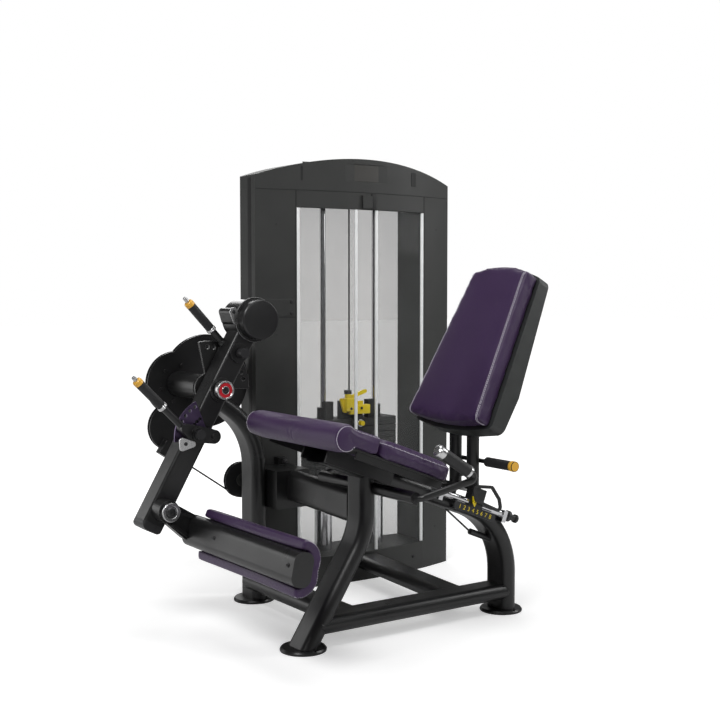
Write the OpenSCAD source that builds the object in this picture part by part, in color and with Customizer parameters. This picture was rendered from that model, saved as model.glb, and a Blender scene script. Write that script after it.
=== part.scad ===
// Leg extension machine, millimetres, +Z up, the user faces -X, the weight tower stands on +Y.
// Every sub-part is drawn in the seat's own frame: X = 0 at the knee axis, Y = 0 at the middle
// of the seat, Z = 0 at the floor. datum() then moves it to the middle of the machine's footprint.

/* [Knee axis and lever arm] */
// Height of the knee axis above the floor
knee_z = 741; // [730:1:750]
// Lean of the lever arm from the vertical, foot end forward
arm_tilt = 29.8; // [29:0.2:31]
// Distance from the knee axis to the shin pad's pivot
arm_len = 412; // [400:1:420]
// Width of the lever arm's tube, seen from the side
arm_w = 72; // [68:1:76]
// Depth of the lever arm's tube, across the machine
arm_d = 76; // [70:1:76]
// Near face of the lever arm, from the middle of the seat
arm_y = 395; // [395:1:400]
// Radius of the counterweight drum
drum_r = 64; // [60:1:66]

/* [Seat and back] */
// Slope of the seat and its boom, front edge high
seat_tilt = 21; // [20:0.5:22]
// Width of the seat cushions
seat_w = 508; // [480:2:520]
// Lean of the back pad from the vertical
back_tilt = 28; // [27:0.5:29]
// Height of the back pad along its face
back_h = 567; // [550:1:580]
// Width of the back pad at its foot
back_w_foot = 376; // [340:2:390]
// Width of the back pad at its head
back_w_head = 288; // [220:2:310]
// Rise of the back pad's foot edge from its middle to its corners
foot_arch = 18; // [0:1:30]
// Fall of the back pad's head edge from its middle to its corners
head_arch = 24; // [0:1:40]

/* [Frame tubes] */
// Short side of the oval frame tubes
tube_t = 53; // [50:1:54]
// Long side of the oval frame tubes
tube_w = 110; // [108:1:112]
// Wall of the frame tubes
wall = 3; // [2.5:0.5:4]
// Diameter of the round feet
foot_d = 139; // [130:1:142]

/* [Weight tower] */
// Width of the tower
tower_w = 846; // [840:2:850]
// Height of the tower's corners
tower_h = 1448; // [1440:1:1450]
// Rise of the curved top above the corners
tower_rise = 70; // [60:1:72]
// Radius of the tower's bowed front
tower_r = 1400; // [1350:10:1450]
// Radius of the tower's bowed back
back_r = 2200; // [2000:50:2400]
// Number of plates under the head plate
plate_n = 11; // [8:1:11]

/* [Hidden] */
$fn = 48;
shift_x = -407.07;
shift_y = -235.75;

// Arm and its fittings, measured along the arm from the knee axis
arm_wall = 4;
arm_far = arm_y + arm_d;
plunger_at = 131;
drum_at = 251;
start_lever_at = 145;
// Gap left in the solids at a weld, and running clearance of shafts
weld_gap = 0.02;
shaft_r = 20;
pin_r = 12;
run = 0.05;
// Positions of the legs
rear_leg_x = 825;
front_leg = [57, 263, 329];
pivot_leg = [222, 579];
bar_z = 70;
foot_t = 11;
// Seat datum: front edge of the pan's top
seat_x = 72;
seat_z = 622;
boom_axis = [263, 515];
// Tower
tower_x = 696;
tower_front = 585;
tower_back = 795;
opening_w = 559;
sill_z = 104;
header_z = 1340;
cap_z = 1400;
shell = 4;
gap_w = 79;
stack_x = tower_x + 7;
stack_y = 710;
plate_w = 360;
plate_d = 104;
plate_h = 22;
plate_pitch = 24;
stack_z = 290;
head_z = stack_z + plate_n * plate_pitch;
rod_gap = 115;
rod_r = 10;
// Cam and cable, seen from the side and measured from the knee axis
cam_y = 700;
cam_hub_r = 100;
cam_top = [111, 4, 150];
cam_low = [-21, -145, 72.6];
groove = 8;
cable_r = 3;
cable_y = cam_y + 10;
low_pulley = [243, 393];
top_pulley_z = 1414;
pulley_r = 62;
pulley_groove = 52;
top_groove = 38;
up_x = low_pulley[0] + pulley_groove + cable_r + 0.3;
// Levers: length of the tube, the grip and the trim
lever_r = 11;
grip_r = 14.5;
// Back carriage
rail_y = 72;
rail_r = 11.5;
rail_mid = [640, 384];
post_x = 665;
post_y = 43;

BLACK = [0.13, 0.135, 0.14];
SHROUD = [0.27, 0.28, 0.27];
PURPLE = [0.30, 0.22, 0.36];
CHROME = [0.80, 0.80, 0.78];
AMBER = [0.91, 0.68, 0.24];
YELLOW = [0.85, 0.72, 0.05];
RED = [0.80, 0.10, 0.15];
CLEAR = [0.75, 0.75, 0.73, 0.35];
PANEL = [0.71, 0.69, 0.67];
STEEL = [0.55, 0.55, 0.56];

// ---------------------------------------------------------------- shared shapes

// Moves the seat's own frame to the middle of the footprint
module datum() translate([shift_x, shift_y, 0]) children();

// Cylinder along +Y from y0 to y1, on the frame's Y axis
module ycyl(r, y0, y1) translate([0, y0, 0]) rotate([-90, 0, 0]) cylinder(r=r, h=y1 - y0);

// Extrudes an outline drawn in X and Z across the machine, from y0 to y1
module side_plate(y0, y1) translate([0, y1, 0]) rotate([90, 0, 0]) linear_extrude(y1 - y0) children();

// Oval with flat sides, a by b, its ends round
module oval(a, b) {
    r = min(a, b) / 2;
    square([a > b ? a - 2 * r : a, a > b ? b : b - 2 * r], center=true);
    for (s = [-1, 1]) translate(a > b ? [s * (a / 2 - r), 0] : [0, s * (b / 2 - r)]) circle(r);
}

// Rectangle with round corners
module round_rect(a, b, r) {
    square([a - 2 * r, b], center=true);
    square([a, b - 2 * r], center=true);
    for (i = [-1, 1], j = [-1, 1]) translate([i * (a / 2 - r), j * (b / 2 - r)]) circle(r);
}

// Two circles joined by their outer tangents
module link_outline(p, rp, q, rq) {
    d = norm(q - p);
    a = atan2(q[1] - p[1], q[0] - p[0]);
    b = acos((rp - rq) / d);
    translate(p) circle(rp);
    translate(q) circle(rq);
    polygon([p + rp * [cos(a + b), sin(a + b)], q + rq * [cos(a + b), sin(a + b)],
             q + rq * [cos(a - b), sin(a - b)], p + rp * [cos(a - b), sin(a - b)]]);
}

// Fan between two angles, round its own corner
module fan(r, a0, a1) intersection() {
    circle(r);
    polygon([[0, 0], 2 * r * [cos(a0), sin(a0)], 2 * r * [cos((2 * a0 + a1) / 3), sin((2 * a0 + a1) / 3)],
             2 * r * [cos((a0 + 2 * a1) / 3), sin((a0 + 2 * a1) / 3)], 2 * r * [cos(a1), sin(a1)]]);
}

// Round bar swept along a path of points; side gives the sections their roll
module sweep(path, r, sides, side) {
    last = len(path) - 1;
    function along(i) = path[min(i + 1, last)] - path[max(i - 1, 0)];
    function across(i) = cross(along(i), side) / norm(cross(along(i), side));
    function up(i) = cross(along(i), across(i)) / norm(along(i));
    function ring(i) = [for (k = [0 : sides - 1])
        path[i] + r * cos(360 * k / sides) * across(i) + r * sin(360 * k / sides) * up(i)];
    polyhedron(
        points=[for (i = [0 : last]) each ring(i)],
        faces=concat(
            [[for (k = [0 : sides - 1]) k]],
            [[for (k = [sides - 1 : -1 : 0]) last * sides + k]],
            [for (i = [0 : last - 1], k = [0 : sides - 1])
                [i * sides + k, (i + 1) * sides + k, (i + 1) * sides + (k + 1) % sides,
                 i * sides + (k + 1) % sides]]),
        convexity=4);
}

// Points of a rounded corner at b between a and c, starting reach before it
function unit(v) = v / norm(v);
function corner(a, b, c, reach, steps) =
    let (u = unit(a - b), v = unit(c - b), half = acos(u * v) / 2,
         centre = b + unit(u + v) * reach / cos(half), p = b + reach * u - centre,
         q = b + reach * v - centre, turn = 180 - 2 * half)
    [for (i = [0 : steps])
        centre + (sin((1 - i / steps) * turn) * p + sin(i / steps * turn) * q) / sin(turn)];

// Section of a frame tube; trim makes it a little smaller, solid fills it
module tube_section(trim=0, filled=false) difference() {
    oval(tube_t - trim, tube_w - 2 * trim);
    if (!filled) oval(tube_t - trim - 2 * wall, tube_w - 2 * trim - 2 * wall);
}

// Oval tube that rises from the origin, turns towards -X and runs on straight
module bent_tube(run_1, bend_r, turn, run_2, trim=0) {
    linear_extrude(run_1) tube_section(trim);
    translate([-bend_r, 0, run_1 + weld_gap]) {
        rotate([90, 0, 0]) rotate_extrude(angle=turn) translate([bend_r, 0]) tube_section(trim);
        rotate([0, -turn, 0]) translate([bend_r, 0, weld_gap]) linear_extrude(run_2) tube_section(trim);
    }
}

// Frame of the lever arm: +Z runs up the arm from the knee axis, +X points back
module in_arm() translate([0, 0, knee_z]) rotate([0, arm_tilt, 0]) children();

// Frame of the seat: origin at the front of the pan's top, +X runs back and down
module in_seat() translate([seat_x, 0, seat_z]) rotate([0, seat_tilt, 0]) children();

// Frame of the back pad: origin at the foot of its face, +Z runs up the face
module in_back() translate([557, 0, 640]) rotate([0, back_tilt, 0]) children();

// ---------------------------------------------------------------- frame

// Leg under the knee axis: rises, then leans forward to the pivot housing
module pivot_leg() datum() color(BLACK) {
    turn = 55;
    bend_r = 240;
    rise = knee_z - pivot_leg[0] / tan(turn) - bend_r * tan(turn / 2);
    difference() {
        translate([pivot_leg[0], pivot_leg[1], foot_t]) bent_tube(rise - foot_t, bend_r, turn, 147);
        translate([0, 0, knee_z]) ycyl(42 + weld_gap, 400, 800);
    }
}

// Leg under the front of the seat: leans back from its foot, then rises to the boom
front_lean = atan2(front_leg[1] - front_leg[0], front_leg[2] - foot_t);
module seat_front_leg() datum() color(BLACK) {
    bend_r = 220;
    below = 60;
    run_1 = norm([front_leg[1] - front_leg[0], front_leg[2] - foot_t]) - bend_r * tan(front_lean / 2);
    difference() {
        translate([front_leg[0], 0, foot_t]) rotate([0, front_lean, 0]) translate([0, 0, -below])
            bent_tube(run_1 + below, bend_r, front_lean, 106, 3);
        below_feet();
        boom_cutter();
    }
}
module front_leg_cutter() translate([front_leg[0], 0, foot_t]) rotate([0, front_lean, 0])
    translate([0, 0, -60]) linear_extrude(360) tube_section(3 - weld_gap, true);
module front_leg_top_cutter() translate([front_leg[1], 0, 380]) linear_extrude(150)
    tube_section(3 - weld_gap, true);

module below_feet() translate([-400, -400, foot_t - 200]) cube([1600, 1400, 200]);

// Rear leg and seat boom, one bent tube, cut off at a slope at the nose
boom_turn = 90 - seat_tilt;
boom_bend_r = 240;
boom_rise = boom_axis[1] - (rear_leg_x - boom_axis[0]) * tan(seat_tilt) - boom_bend_r * tan(boom_turn / 2);
module seat_boom() datum() color(BLACK) difference() {
    translate([rear_leg_x, 0, foot_t]) bent_tube(boom_rise - foot_t, boom_bend_r, boom_turn, 651);
    boom_nose() translate([-200, -100, 0]) cube([400, 200, 200]);
}

// The boom's straight run and its bend as solids, to cut what is welded to them
module boom_cutter() translate([boom_axis[0], 0, boom_axis[1]]) rotate([0, seat_tilt - 90, 0])
    translate([0, 0, -460]) linear_extrude(700) tube_section(-weld_gap, true);
module boom_bend_cutter() translate([rear_leg_x - boom_bend_r, 0, boom_rise]) rotate([90, 0, 0])
    rotate_extrude(angle=boom_turn) translate([boom_bend_r, 0]) tube_section(-weld_gap, true);

// Plug that closes the boom's sloping nose
module boom_plug() datum() color(BLACK) intersection() {
    translate([boom_axis[0], 0, boom_axis[1]]) rotate([0, seat_tilt - 90, 0])
        linear_extrude(220) oval(tube_t - 2 * wall - 0.02, tube_w - 2 * wall - 0.02);
    boom_nose() translate([-200, -100, -4]) cube([400, 200, 4]);
}

// Frame of the boom's nose: +Z points out of the sloping cut
module boom_nose() translate([89, 0, 553]) rotate([0, seat_tilt - 38, 0]) children();

// Cross bar between the seat's legs, and the two tubes that tie it to the tower side
module base_tubes() datum() color(BLACK) {
    difference() {
        cross_bar(2, false);
        front_leg_cutter();
        translate([rear_leg_x, 0, 0]) linear_extrude(150) tube_section(-weld_gap, true);
    }
    difference() {
        translate([pivot_leg[0], 20, bar_z]) rotate([-90, 0, 0])
            linear_extrude(pivot_leg[1] - 30) rotate(90) tube_section(3);
        cross_bar(2 - weld_gap, true);
        translate(pivot_leg) linear_extrude(150) tube_section(-weld_gap, true);
    }
    difference() {
        translate([640, 20, bar_z]) rotate([-90, 0, -5.9]) linear_extrude(620) rotate(90) tube_section(3);
        cross_bar(2 - weld_gap, true);
        linear_extrude(200) translate([tower_x, tower_front + tower_r]) circle(tower_r + weld_gap, $fn=180);
    }
}
module cross_bar(trim, filled) translate([90, 0, bar_z]) rotate([0, 90, 0])
    linear_extrude(rear_leg_x - 90) tube_section(trim, filled);

// Beam from the seat's front leg to the tower
beam_yaw = 6.2;
module beam_run(from_y, to_y, trim, filled=false) translate([265, 0, 397]) rotate([0, 0, -beam_yaw])
    translate([0, from_y, 0]) rotate([-90, 0, 0]) linear_extrude(to_y - from_y) tube_section(trim, filled);

module main_beam() datum() color(BLACK) difference() {
    beam_run(20, 562, 2);
    for (shift = [0, 6]) translate([front_leg[1] - shift, 0, 200]) linear_extrude(330) tube_section(3 - weld_gap, true);
}

// Socket that takes the beam, on the pivot leg, with a flange bolted to the tower's bowed front
module beam_socket() datum() color(BLACK) {
    translate([0, 0, 322]) linear_extrude(128) flange_plan(276, 388);
    difference() {
        for (z = [297, 450]) translate([0, 0, z]) linear_extrude(25) flange_plan(334, 370);
        for (z = [311, 461]) translate([352, 0, z]) ycyl(5, 590, 680);
    }
    difference() {
        translate([pivot_leg[0] + tube_t / 2, 470, 322]) cube([375 - pivot_leg[0] - tube_t / 2, 130, 128]);
        beam_run(440, 590, 2 - weld_gap, true);
    }
}
module flange_plan(x0, x1) difference() {
    translate([x0, 599]) square([x1 - x0, 60]);
    translate([tower_x, tower_front + tower_r]) circle(tower_r + 0.02, $fn=180);
}

// Round feet with two floor bolt holes each
module foot_plates() datum() color(BLACK)
    for (p = [[front_leg[0], 0], pivot_leg, [rear_leg_x, 0]]) translate(p) difference() {
        rotate_extrude() polygon([[0, 0], [foot_d / 2 - 1, 0], [foot_d / 2, 2], [foot_d / 2, 6],
                                  [foot_d / 2 - 4, foot_t], [0, foot_t]]);
        for (s = [-1, 1]) translate([0, s * 62, -1]) cylinder(r=4.5, h=foot_t + 2);
    }

module pivot_housing() datum() color(BLACK) translate([0, 0, knee_z]) difference() {
    ycyl(42, 502, 690);
    ycyl(31, 501, 691);
}

module pivot_bearings() datum() color(STEEL) translate([0, 0, knee_z])
    for (y = [503, 671]) difference() {
        ycyl(31, y, y + 18);
        ycyl(shaft_r, y - 1, y + 19);
    }

// ---------------------------------------------------------------- knee shaft and cam

module pivot_shaft() datum() color(STEEL) translate([0, 0, knee_z]) ycyl(shaft_r - run, 384, cam_y + 20);

// Outline of the cam: three round lobes
module cam_outline(grow) {
    circle(cam_hub_r + grow);
    translate([cam_top[0], cam_top[1]]) circle(cam_top[2] + grow);
    translate([cam_low[0], cam_low[1]]) circle(cam_low[2] + grow);
}

// Cam with a cable groove round its rim, on a bolted hub
module cam() datum() color(BLACK) translate([0, 0, knee_z]) {
    difference() {
        union() {
            side_plate(cam_y, cam_y + 5) cam_outline(groove);
            side_plate(cam_y + 5, cam_y + 15) cam_outline(0);
            side_plate(cam_y + 15, cam_y + 20) cam_outline(groove);
            ycyl(36, cam_y - 8, cam_y);
            for (a = [15 : 60 : 359]) translate([62 * cos(a), 0, 62 * sin(a)]) ycyl(6, cam_y - 5, cam_y);
            // Rubber stop at the cam's foot
            translate([-52, cam_y - 13, -214]) rotate([0, 34, 0]) cube([34, 30, 52], center=true);
        }
        ycyl(shaft_r - run, cam_y - 20, cam_y + 21);
    }
}

// Plate with a hole for each start position of the arm
module start_sector() datum() color(STEEL) translate([0, 0, knee_z]) difference() {
    union() {
        side_plate(480, 488) difference() {
            union() {
                circle(46);
                fan(150, -4, 102);
            }
            for (k = [-5 : 3]) rotate(90 - arm_tilt + 10 * k) translate([plunger_at, 0]) circle(7.05);
        }
        ycyl(34, 488, 500);
    }
    ycyl(shaft_r - run, 470, 510);
}

module knee_cap() datum() color(RED) translate([0, 0, knee_z]) {
    ycyl(29, 364, 384);
    ycyl(24, 361, 364);
}

// ---------------------------------------------------------------- lever arm

module arm_tube() datum() color(BLACK) in_arm() difference() {
    foot = arm_len + 52;
    translate([0, arm_y + arm_d / 2, -foot]) linear_extrude(foot + drum_at) difference() {
        round_rect(arm_w, arm_d, 9);
        round_rect(arm_w - 2 * arm_wall, arm_d - 2 * arm_wall, 5);
    }
    ycyl(31, arm_y - 1, arm_far + 1);
    translate([0, 0, plunger_at]) ycyl(15, arm_y - 1, arm_far + 1);
    translate([0, 0, -arm_len]) ycyl(pin_r, arm_y - 1, arm_far + 1);
    translate([0, 0, drum_at]) ycyl(drum_r, arm_y - 10, arm_far + 10);
}

// Knee bush and plunger barrel, welded through the arm
module arm_hub() datum() color(BLACK) in_arm() {
    difference() {
        union() {
            ycyl(38, arm_y - 6, arm_y);
            ycyl(31, arm_y, arm_far + 5);
        }
        ycyl(shaft_r, arm_y - 7, arm_far + 6);
    }
    translate([0, 0, plunger_at]) difference() {
        union() {
            ycyl(31, arm_y - 7, arm_y);
            ycyl(15, arm_y, arm_far);
        }
        ycyl(7.05, arm_y - 8, arm_far + 1);
    }
}

module arm_end_cap() datum() color(BLACK) in_arm() {
    depth = 24;
    translate([0, arm_y + arm_d / 2, -arm_len - 52]) difference() {
        translate([0, 0, -depth]) linear_extrude(depth) round_rect(arm_w, arm_d, 9);
        for (s = [-1, 1]) translate([s * arm_w / 2, 0, -depth]) difference() {
            cube([40, arm_d + 2, 40], center=true);
            translate([-s * 20, 0, 20]) ycyl(20, -arm_d, arm_d);
        }
    }
}

// Drum with a clamp strap round the side away from the arm's foot
module counterweight() datum() color(BLACK) in_arm() translate([0, 0, drum_at]) {
    translate([0, 352, 0]) rotate([-90, 0, 0]) rotate_extrude()
        polygon([[0, 0], [drum_r - 4, 0], [drum_r, 4], [drum_r, 144], [drum_r - 4, 148], [0, 148]]);
    side_plate(arm_y, arm_far) difference() {
        union() {
            circle(drum_r + 8);
            link_outline([-78, -16], 13, [-58, -36], 12);
        }
        circle(drum_r - 0.6);
        translate([-80, -16]) circle(5);
        translate([-200, 0]) square([400, 200]);
        translate([-arm_w / 2, -200]) square([arm_w, 200]);
        translate([30, -200]) square([200, 200]);
    }
}

// Locking pin and its knob, drawn pulled clear of the start sector
module start_plunger() datum() color(BLACK) in_arm() translate([0, 0, plunger_at]) {
    ycyl(7, 380, 479);
    ycyl(16, 352, 380);
}

// Frame of the start lever: +Z runs out along the lever from the arm's front face
module in_start_lever() in_arm() translate([-arm_w / 2, arm_y + 60, start_lever_at])
    rotate([0, -72.7, 0]) children();

module lever_grip(base, length) translate([0, 0, base]) difference() {
    cylinder(r=grip_r, h=length);
    translate([0, 0, -1]) cylinder(r=lever_r, h=length + 2);
}

// Round cap on a lever's end, bored for the push button
module lever_cap(base) translate([0, 0, base]) difference() {
    rotate_extrude() polygon([[0, 0], [grip_r + 0.5, 0], [grip_r + 0.5, 13], [grip_r - 2, 16], [0, 16]]);
    translate([0, 0, -1]) cylinder(r=6.05, h=20);
}

module lever_button(base) translate([0, 0, base]) {
    cylinder(r=6, h=30);
    translate([0, 0, 30]) rotate_extrude() polygon([[0, 0], [6, 0], [6, 2], [4.5, 3.5], [0, 3.5]]);
}

// Lever tube with a bore for the button's rod
module lever_tube(length) difference() {
    union() {
        cylinder(r=lever_r, h=length);
        translate([0, 0, length - 12 - 96]) cylinder(r=grip_r + 0.5, h=10);
    }
    translate([0, 0, length - 40]) cylinder(r=6.05, h=41);
}

start_len = 163;
module start_lever() datum() color(BLACK) difference() {
    in_start_lever() {
        lever_tube(start_len);
        sphere(14);
    }
    in_arm() translate([-arm_w / 2 + 50, arm_y + 38, start_lever_at]) cube([100, 100, 100], center=true);
}
module start_grip() datum() color(BLACK) in_start_lever() lever_grip(start_len - 98, 98);
module start_cap() datum() color(AMBER) in_start_lever() lever_cap(start_len);
module start_button() datum() color(CHROME) in_start_lever() lever_button(start_len);

// Pin through the arm's foot with its bright cap
module shin_pin() datum() color(CHROME) in_arm() translate([0, 0, -arm_len]) {
    ycyl(pin_r, 342, arm_far + 6);
    ycyl(28, 326, 342);
    ycyl(20, arm_far, arm_far + 6);
}

// ---------------------------------------------------------------- shin pad adjuster

pad_boss = [32, -145];
pad_hole_r = 62;
// Toothed plate fixed to the arm, with a hole for each position of the pad lever
module pad_sector() datum() color(STEEL) in_arm()
    side_plate(arm_y - 6, arm_y) difference() {
        translate(pad_boss) difference() {
            union() {
                circle(24);
                fan(118, 142, 216);
            }
            for (a = [147 : 11.5 : 182]) rotate(a) translate([104, 0]) circle(6);
            for (a = [150 : 12 : 198]) rotate(a) translate([pad_hole_r, 0]) circle(6.05);
            circle(pin_r);
        }
        circle(39);
    }

// Cast bracket that swings on its boss and carries the pad lever
module pad_bracket() datum() color(BLACK) in_arm() difference() {
    a = 198;
    knob = pad_boss + pad_hole_r * [cos(a), sin(a)];
    union() {
        side_plate(352, arm_y - 6.3) {
            link_outline(pad_boss, 22, knob, 26);
            link_outline(knob, 26, [-68, -166], 15);
            link_outline([-30, -192], 9, knob, 18);
        }
        translate([-64, 370, -167]) rotate([0, -75, 0]) lever_tube(pad_len);
        translate([knob[0], 0, knob[1]]) ycyl(19, 340, 352);
        translate([pad_boss[0], 0, pad_boss[1]]) ycyl(11, 344, 352);
    }
    translate([knob[0], 0, knob[1]]) ycyl(6.05, 330, arm_y);
    translate([-30, 0, -192]) ycyl(4, 330, arm_y);
}

pad_len = 206;
module in_pad_lever() in_arm() translate([-64, 370, -167]) rotate([0, -75, 0]) children();
module pad_grip() datum() color(BLACK) in_pad_lever() lever_grip(pad_len - 98, 98);
module pad_cap() datum() color(AMBER) in_pad_lever() lever_cap(pad_len);

// Locking pin of the pad lever, drawn pulled clear of its plate
module pad_plunger() datum() color(BLACK) in_arm()
    translate([pad_boss[0] + pad_hole_r * cos(198), 0, pad_boss[1] + pad_hole_r * sin(198)]) {
        ycyl(6, 330, arm_y - 7);
        ycyl(15, 322, 336);
    }

// ---------------------------------------------------------------- shin pad

shin_x = -107;
shin_z = 310;
shin_tilt = 12;
shin_near = -262;
shin_far = 385;
pad_near = -255;
pad_far = 318;
pad_thick = 32;
shin_t = 62;
shin_w = 96;
module in_shin() translate([shin_x, 0, shin_z]) rotate([0, shin_tilt, 0]) children();
module shin_outline(grow) round_rect(shin_t + 2 * grow, shin_w + 2 * grow, 26 + grow);

// Boss on the arm's pin and the plate that carries the shin tube
module shin_link() datum() color(BLACK) {
    pivot = [-arm_len * sin(arm_tilt), knee_z - arm_len * cos(arm_tilt)];
    difference() {
        union() {
            translate([pivot[0], 0, pivot[1]]) ycyl(34, 343, arm_y - 1);
            side_plate(356, arm_y - 4) link_outline(pivot, 30, [-122, 322], 40);
            side_plate(348, 356) {
                link_outline([-165, 372], 5, [-100, 350], 5);
                link_outline([-190, 340], 5, [-125, 290], 5);
            }
        }
        translate([pivot[0], 0, pivot[1]]) ycyl(pin_r + run, 340, arm_y + 1);
        in_shin() side_plate(300, shin_far) shin_outline(0.02);
    }
}

module shin_tube() datum() color(BLACK) in_shin() {
    side_plate(shin_near, shin_far) difference() {
        shin_outline(0);
        shin_outline(-wall);
    }
    side_plate(shin_near, shin_near + 6) shin_outline(-wall + 0.5);
}

// Pad wrapped round the back of the shin tube, open at the front
module shin_pad() datum() color(PURPLE) in_shin() side_plate(pad_near, pad_far) difference() {
    shin_outline(pad_thick);
    shin_outline(0.3);
    translate([-200, -200]) square([188, 400]);
}

// ---------------------------------------------------------------- seat

// Steel pan with a turned-down flange on each side and saddles to the boom
module seat_pan() datum() color(BLACK) difference() {
    in_seat() {
        translate([4, -(seat_w - 30) / 2, -5]) cube([348, seat_w - 30, 5]);
        for (s = [-1, 1]) translate([20, s * (seat_w / 2 - 24) - 3, -27]) cube([320, 6, 22]);
        for (s = [-1, 1]) translate([40, s * 64 - 4, -52]) cube([250, 8, 47]);
    }
    boom_cutter();
    translate([0, 0, 3 * weld_gap]) boom_cutter();
}

module front_cushion() datum() color(PURPLE) in_seat()
    side_plate(-seat_w / 2, seat_w / 2) {
        translate([-33.5, 15]) circle(40);
        translate([-33.5, 0.3]) square([112.5, 51]);
    }

module rear_cushion() datum() color(PURPLE) in_seat() translate([221, 0, 0.3]) linear_extrude(54)
    round_rect(276, seat_w, 24);

// Cross tube under the seat with a bent handle at each end
handle_x = 283;
handle_z = 461;
handle_y = 245;
handle_bar_r = 10.5;
grip_dir = [-130, 0, 81] / norm([130, 81]);
grip_at = [440, 60, 525];
module handle_path() {
    from = [handle_x, weld_gap, handle_z];
    turn = [handle_x + 4, 20, handle_z + 1];
    elbow = grip_at - 30 * grip_dir;
    end = grip_at + 132 * grip_dir;
    sweep(concat([from, from + [0, 4, 0]], corner(from, turn, elbow, 14, 4), corner(turn, elbow, end, 28, 10), [end]),
          handle_bar_r, 16, [0, 0, 1]);
}
module seat_handles() datum() color(BLACK) {
    difference() {
        union() {
            translate([handle_x, 0, handle_z]) ycyl(17.5, -handle_y, handle_y);
            translate([handle_x - 25, -45, handle_z + 3]) cube([50, 90, 36]);
        }
        boom_cutter();
        beam_run(-40, 562, 2 - weld_gap, true);
        front_leg_top_cutter();
    }
    for (s = [-1, 1]) mirror([0, s > 0 ? 0 : 1, 0]) translate([0, handle_y, 0])
        handle_path();
}
module on_grip() for (s = [-1, 1]) mirror([0, s > 0 ? 0 : 1, 0])
    translate([0, handle_y, 0] + grip_at) rotate([0, -acos(grip_dir[2]), 0]) children();
module handle_grips() datum() color(BLACK) on_grip() translate([0, 0, 20]) difference() {
    cylinder(r=18, h=106);
    translate([0, 0, -1]) cylinder(r=handle_bar_r + 0.01, h=120);
}
module handle_caps() datum() color(CHROME) on_grip() difference() {
    union() {
        translate([0, 0, 12]) cylinder(r=18.5, h=8);
        translate([0, 0, 126]) rotate_extrude()
            polygon([[0, 0], [18.5, 0], [18.5, 18], [16, 23], [11, 26], [0, 27]]);
    }
    translate([0, 0, -1]) cylinder(r=handle_bar_r + 0.01, h=133.01);
}

// Frame of a rail: +Z runs along it, back and down
module along_rail(s) translate([rail_mid[0], s * rail_y, rail_mid[1]]) rotate([0, 90 + seat_tilt, 0])
    children();

// Two chrome rails along the boom, with lugs, rubber bumpers and end screws
module slide_rails() datum() color(CHROME) for (s = [-1, 1]) {
    along_rail(s) {
        translate([0, 0, -150]) cylinder(r=rail_r, h=316);
        translate([0, 0, 150]) cylinder(r=17, h=12);
        translate([0, 0, 166]) cylinder(r=9, h=22);
        translate([0, 0, 188]) cylinder(r=13, h=8);
    }
    difference() {
        along_rail(s) for (z = [-150, 126]) translate([-13, s > 0 ? -30 : -15, z]) cube([38, 45, 16]);
        boom_cutter();
        boom_bend_cutter();
    }
}

// Plate with the back's position numbers, on two tabs from the boom
module number_plate() datum() color(BLACK) {
    translate([0, -rail_y - 20, 0])
        side_plate(0, 4) link_outline([562, 389], 12, [706, 389 - 144 * tan(seat_tilt)], 12);
    difference() {
        along_rail(-1) for (z = [-66, 40]) translate([28, -16.5, z]) cube([6, 40, 14]);
        boom_cutter();
    }
}

// Spring cylinder on the rear leg and the cable that runs up to the boom
module assist_cylinder() datum() color(BLACK) {
    difference() {
        translate([690, 0, 277]) rotate([0, 90 + 22, 0]) {
            cylinder(r=10, h=96);
            cylinder(r=6, h=6);
        }
        boom_cutter();
        boom_bend_cutter();
    }
    // Cable up to the underside of the boom
    difference() {
        translate([690, 0, 277]) rotate([0, -50, 0]) cylinder(r=3, h=131);
        boom_cutter();
        boom_bend_cutter();
    }
}

// ---------------------------------------------------------------- back rest

// Carriage on the rails, with its posts, the looped side plate and the latch lever's hinge
module back_carriage() datum() color(BLACK) {
    difference() {
        for (s = [-1, 1]) along_rail(s) translate([-51, s > 0 ? -15 : -14, -24]) cube([75, 29, 56]);
        for (s = [-1, 1]) along_rail(s) translate([0, 0, -100]) cylinder(r=rail_r + run, h=200);
    }
    along_rail(0) translate([-50, -rail_y + 12, -44]) cube([12, 2 * rail_y - 24, 92]);
    for (s = [-1, 1]) {
        difference() {
            translate([post_x, s * post_y, 400]) cylinder(r=20, h=240);
            along_rail(0) translate([-44, -200, -200]) cube([200, 400, 400]);
            back_shell();
        }
        translate([post_x - 6, s * 20 - 5, 456]) cube([48, 10, 28]);
    }
    translate([latch_at[0], 0, latch_at[1]]) ycyl(4, -20, 20);
    translate([0, -rail_y - 32, 0]) side_plate(0, 6) difference() {
        loop_outline(15);
        loop_outline(5);
    }
    translate([628, -rail_y - 26 + weld_gap, 420]) cube([24, 19, 14]);
}
latch_at = [698, 470];
module loop_outline(r) hull() for (p = [[632, 432], [640, 404], [720, 368], [716, 388], [690, 424]])
    translate(p) circle(r, $fn=32);

// Outside of the moulded shell behind the back pad
module back_face(grow) {
    foot = back_w_foot / 2 + grow;
    head = back_w_head / 2 + grow;
    corner_foot = 22 + grow;
    corner_head = 26 + grow;
    hull() {
        for (s = [-1:0.5:1]) {
            translate([s * (foot - corner_foot), corner_foot - grow + foot_arch * s * s]) circle(corner_foot, $fn=32);
            translate([s * (head - corner_head), back_h - corner_head + grow - head_arch * s * s])
                circle(corner_head, $fn=32);
        }
    }
}
module back_shell() in_back() intersection() {
    translate([52.3, 0, 0]) rotate([90, 0, 90]) linear_extrude(80) back_face(2);
    side_plate(-250, 250) polygon([[52.3, -10], [100, -10], [120, 151], [92, back_h + 10], [52.3, back_h + 10]]);
}
module back_cover() datum() color(SHROUD) back_shell();
module back_pad() datum() color(PURPLE) in_back() rotate([90, 0, 90]) linear_extrude(52) back_face(0);

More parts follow.
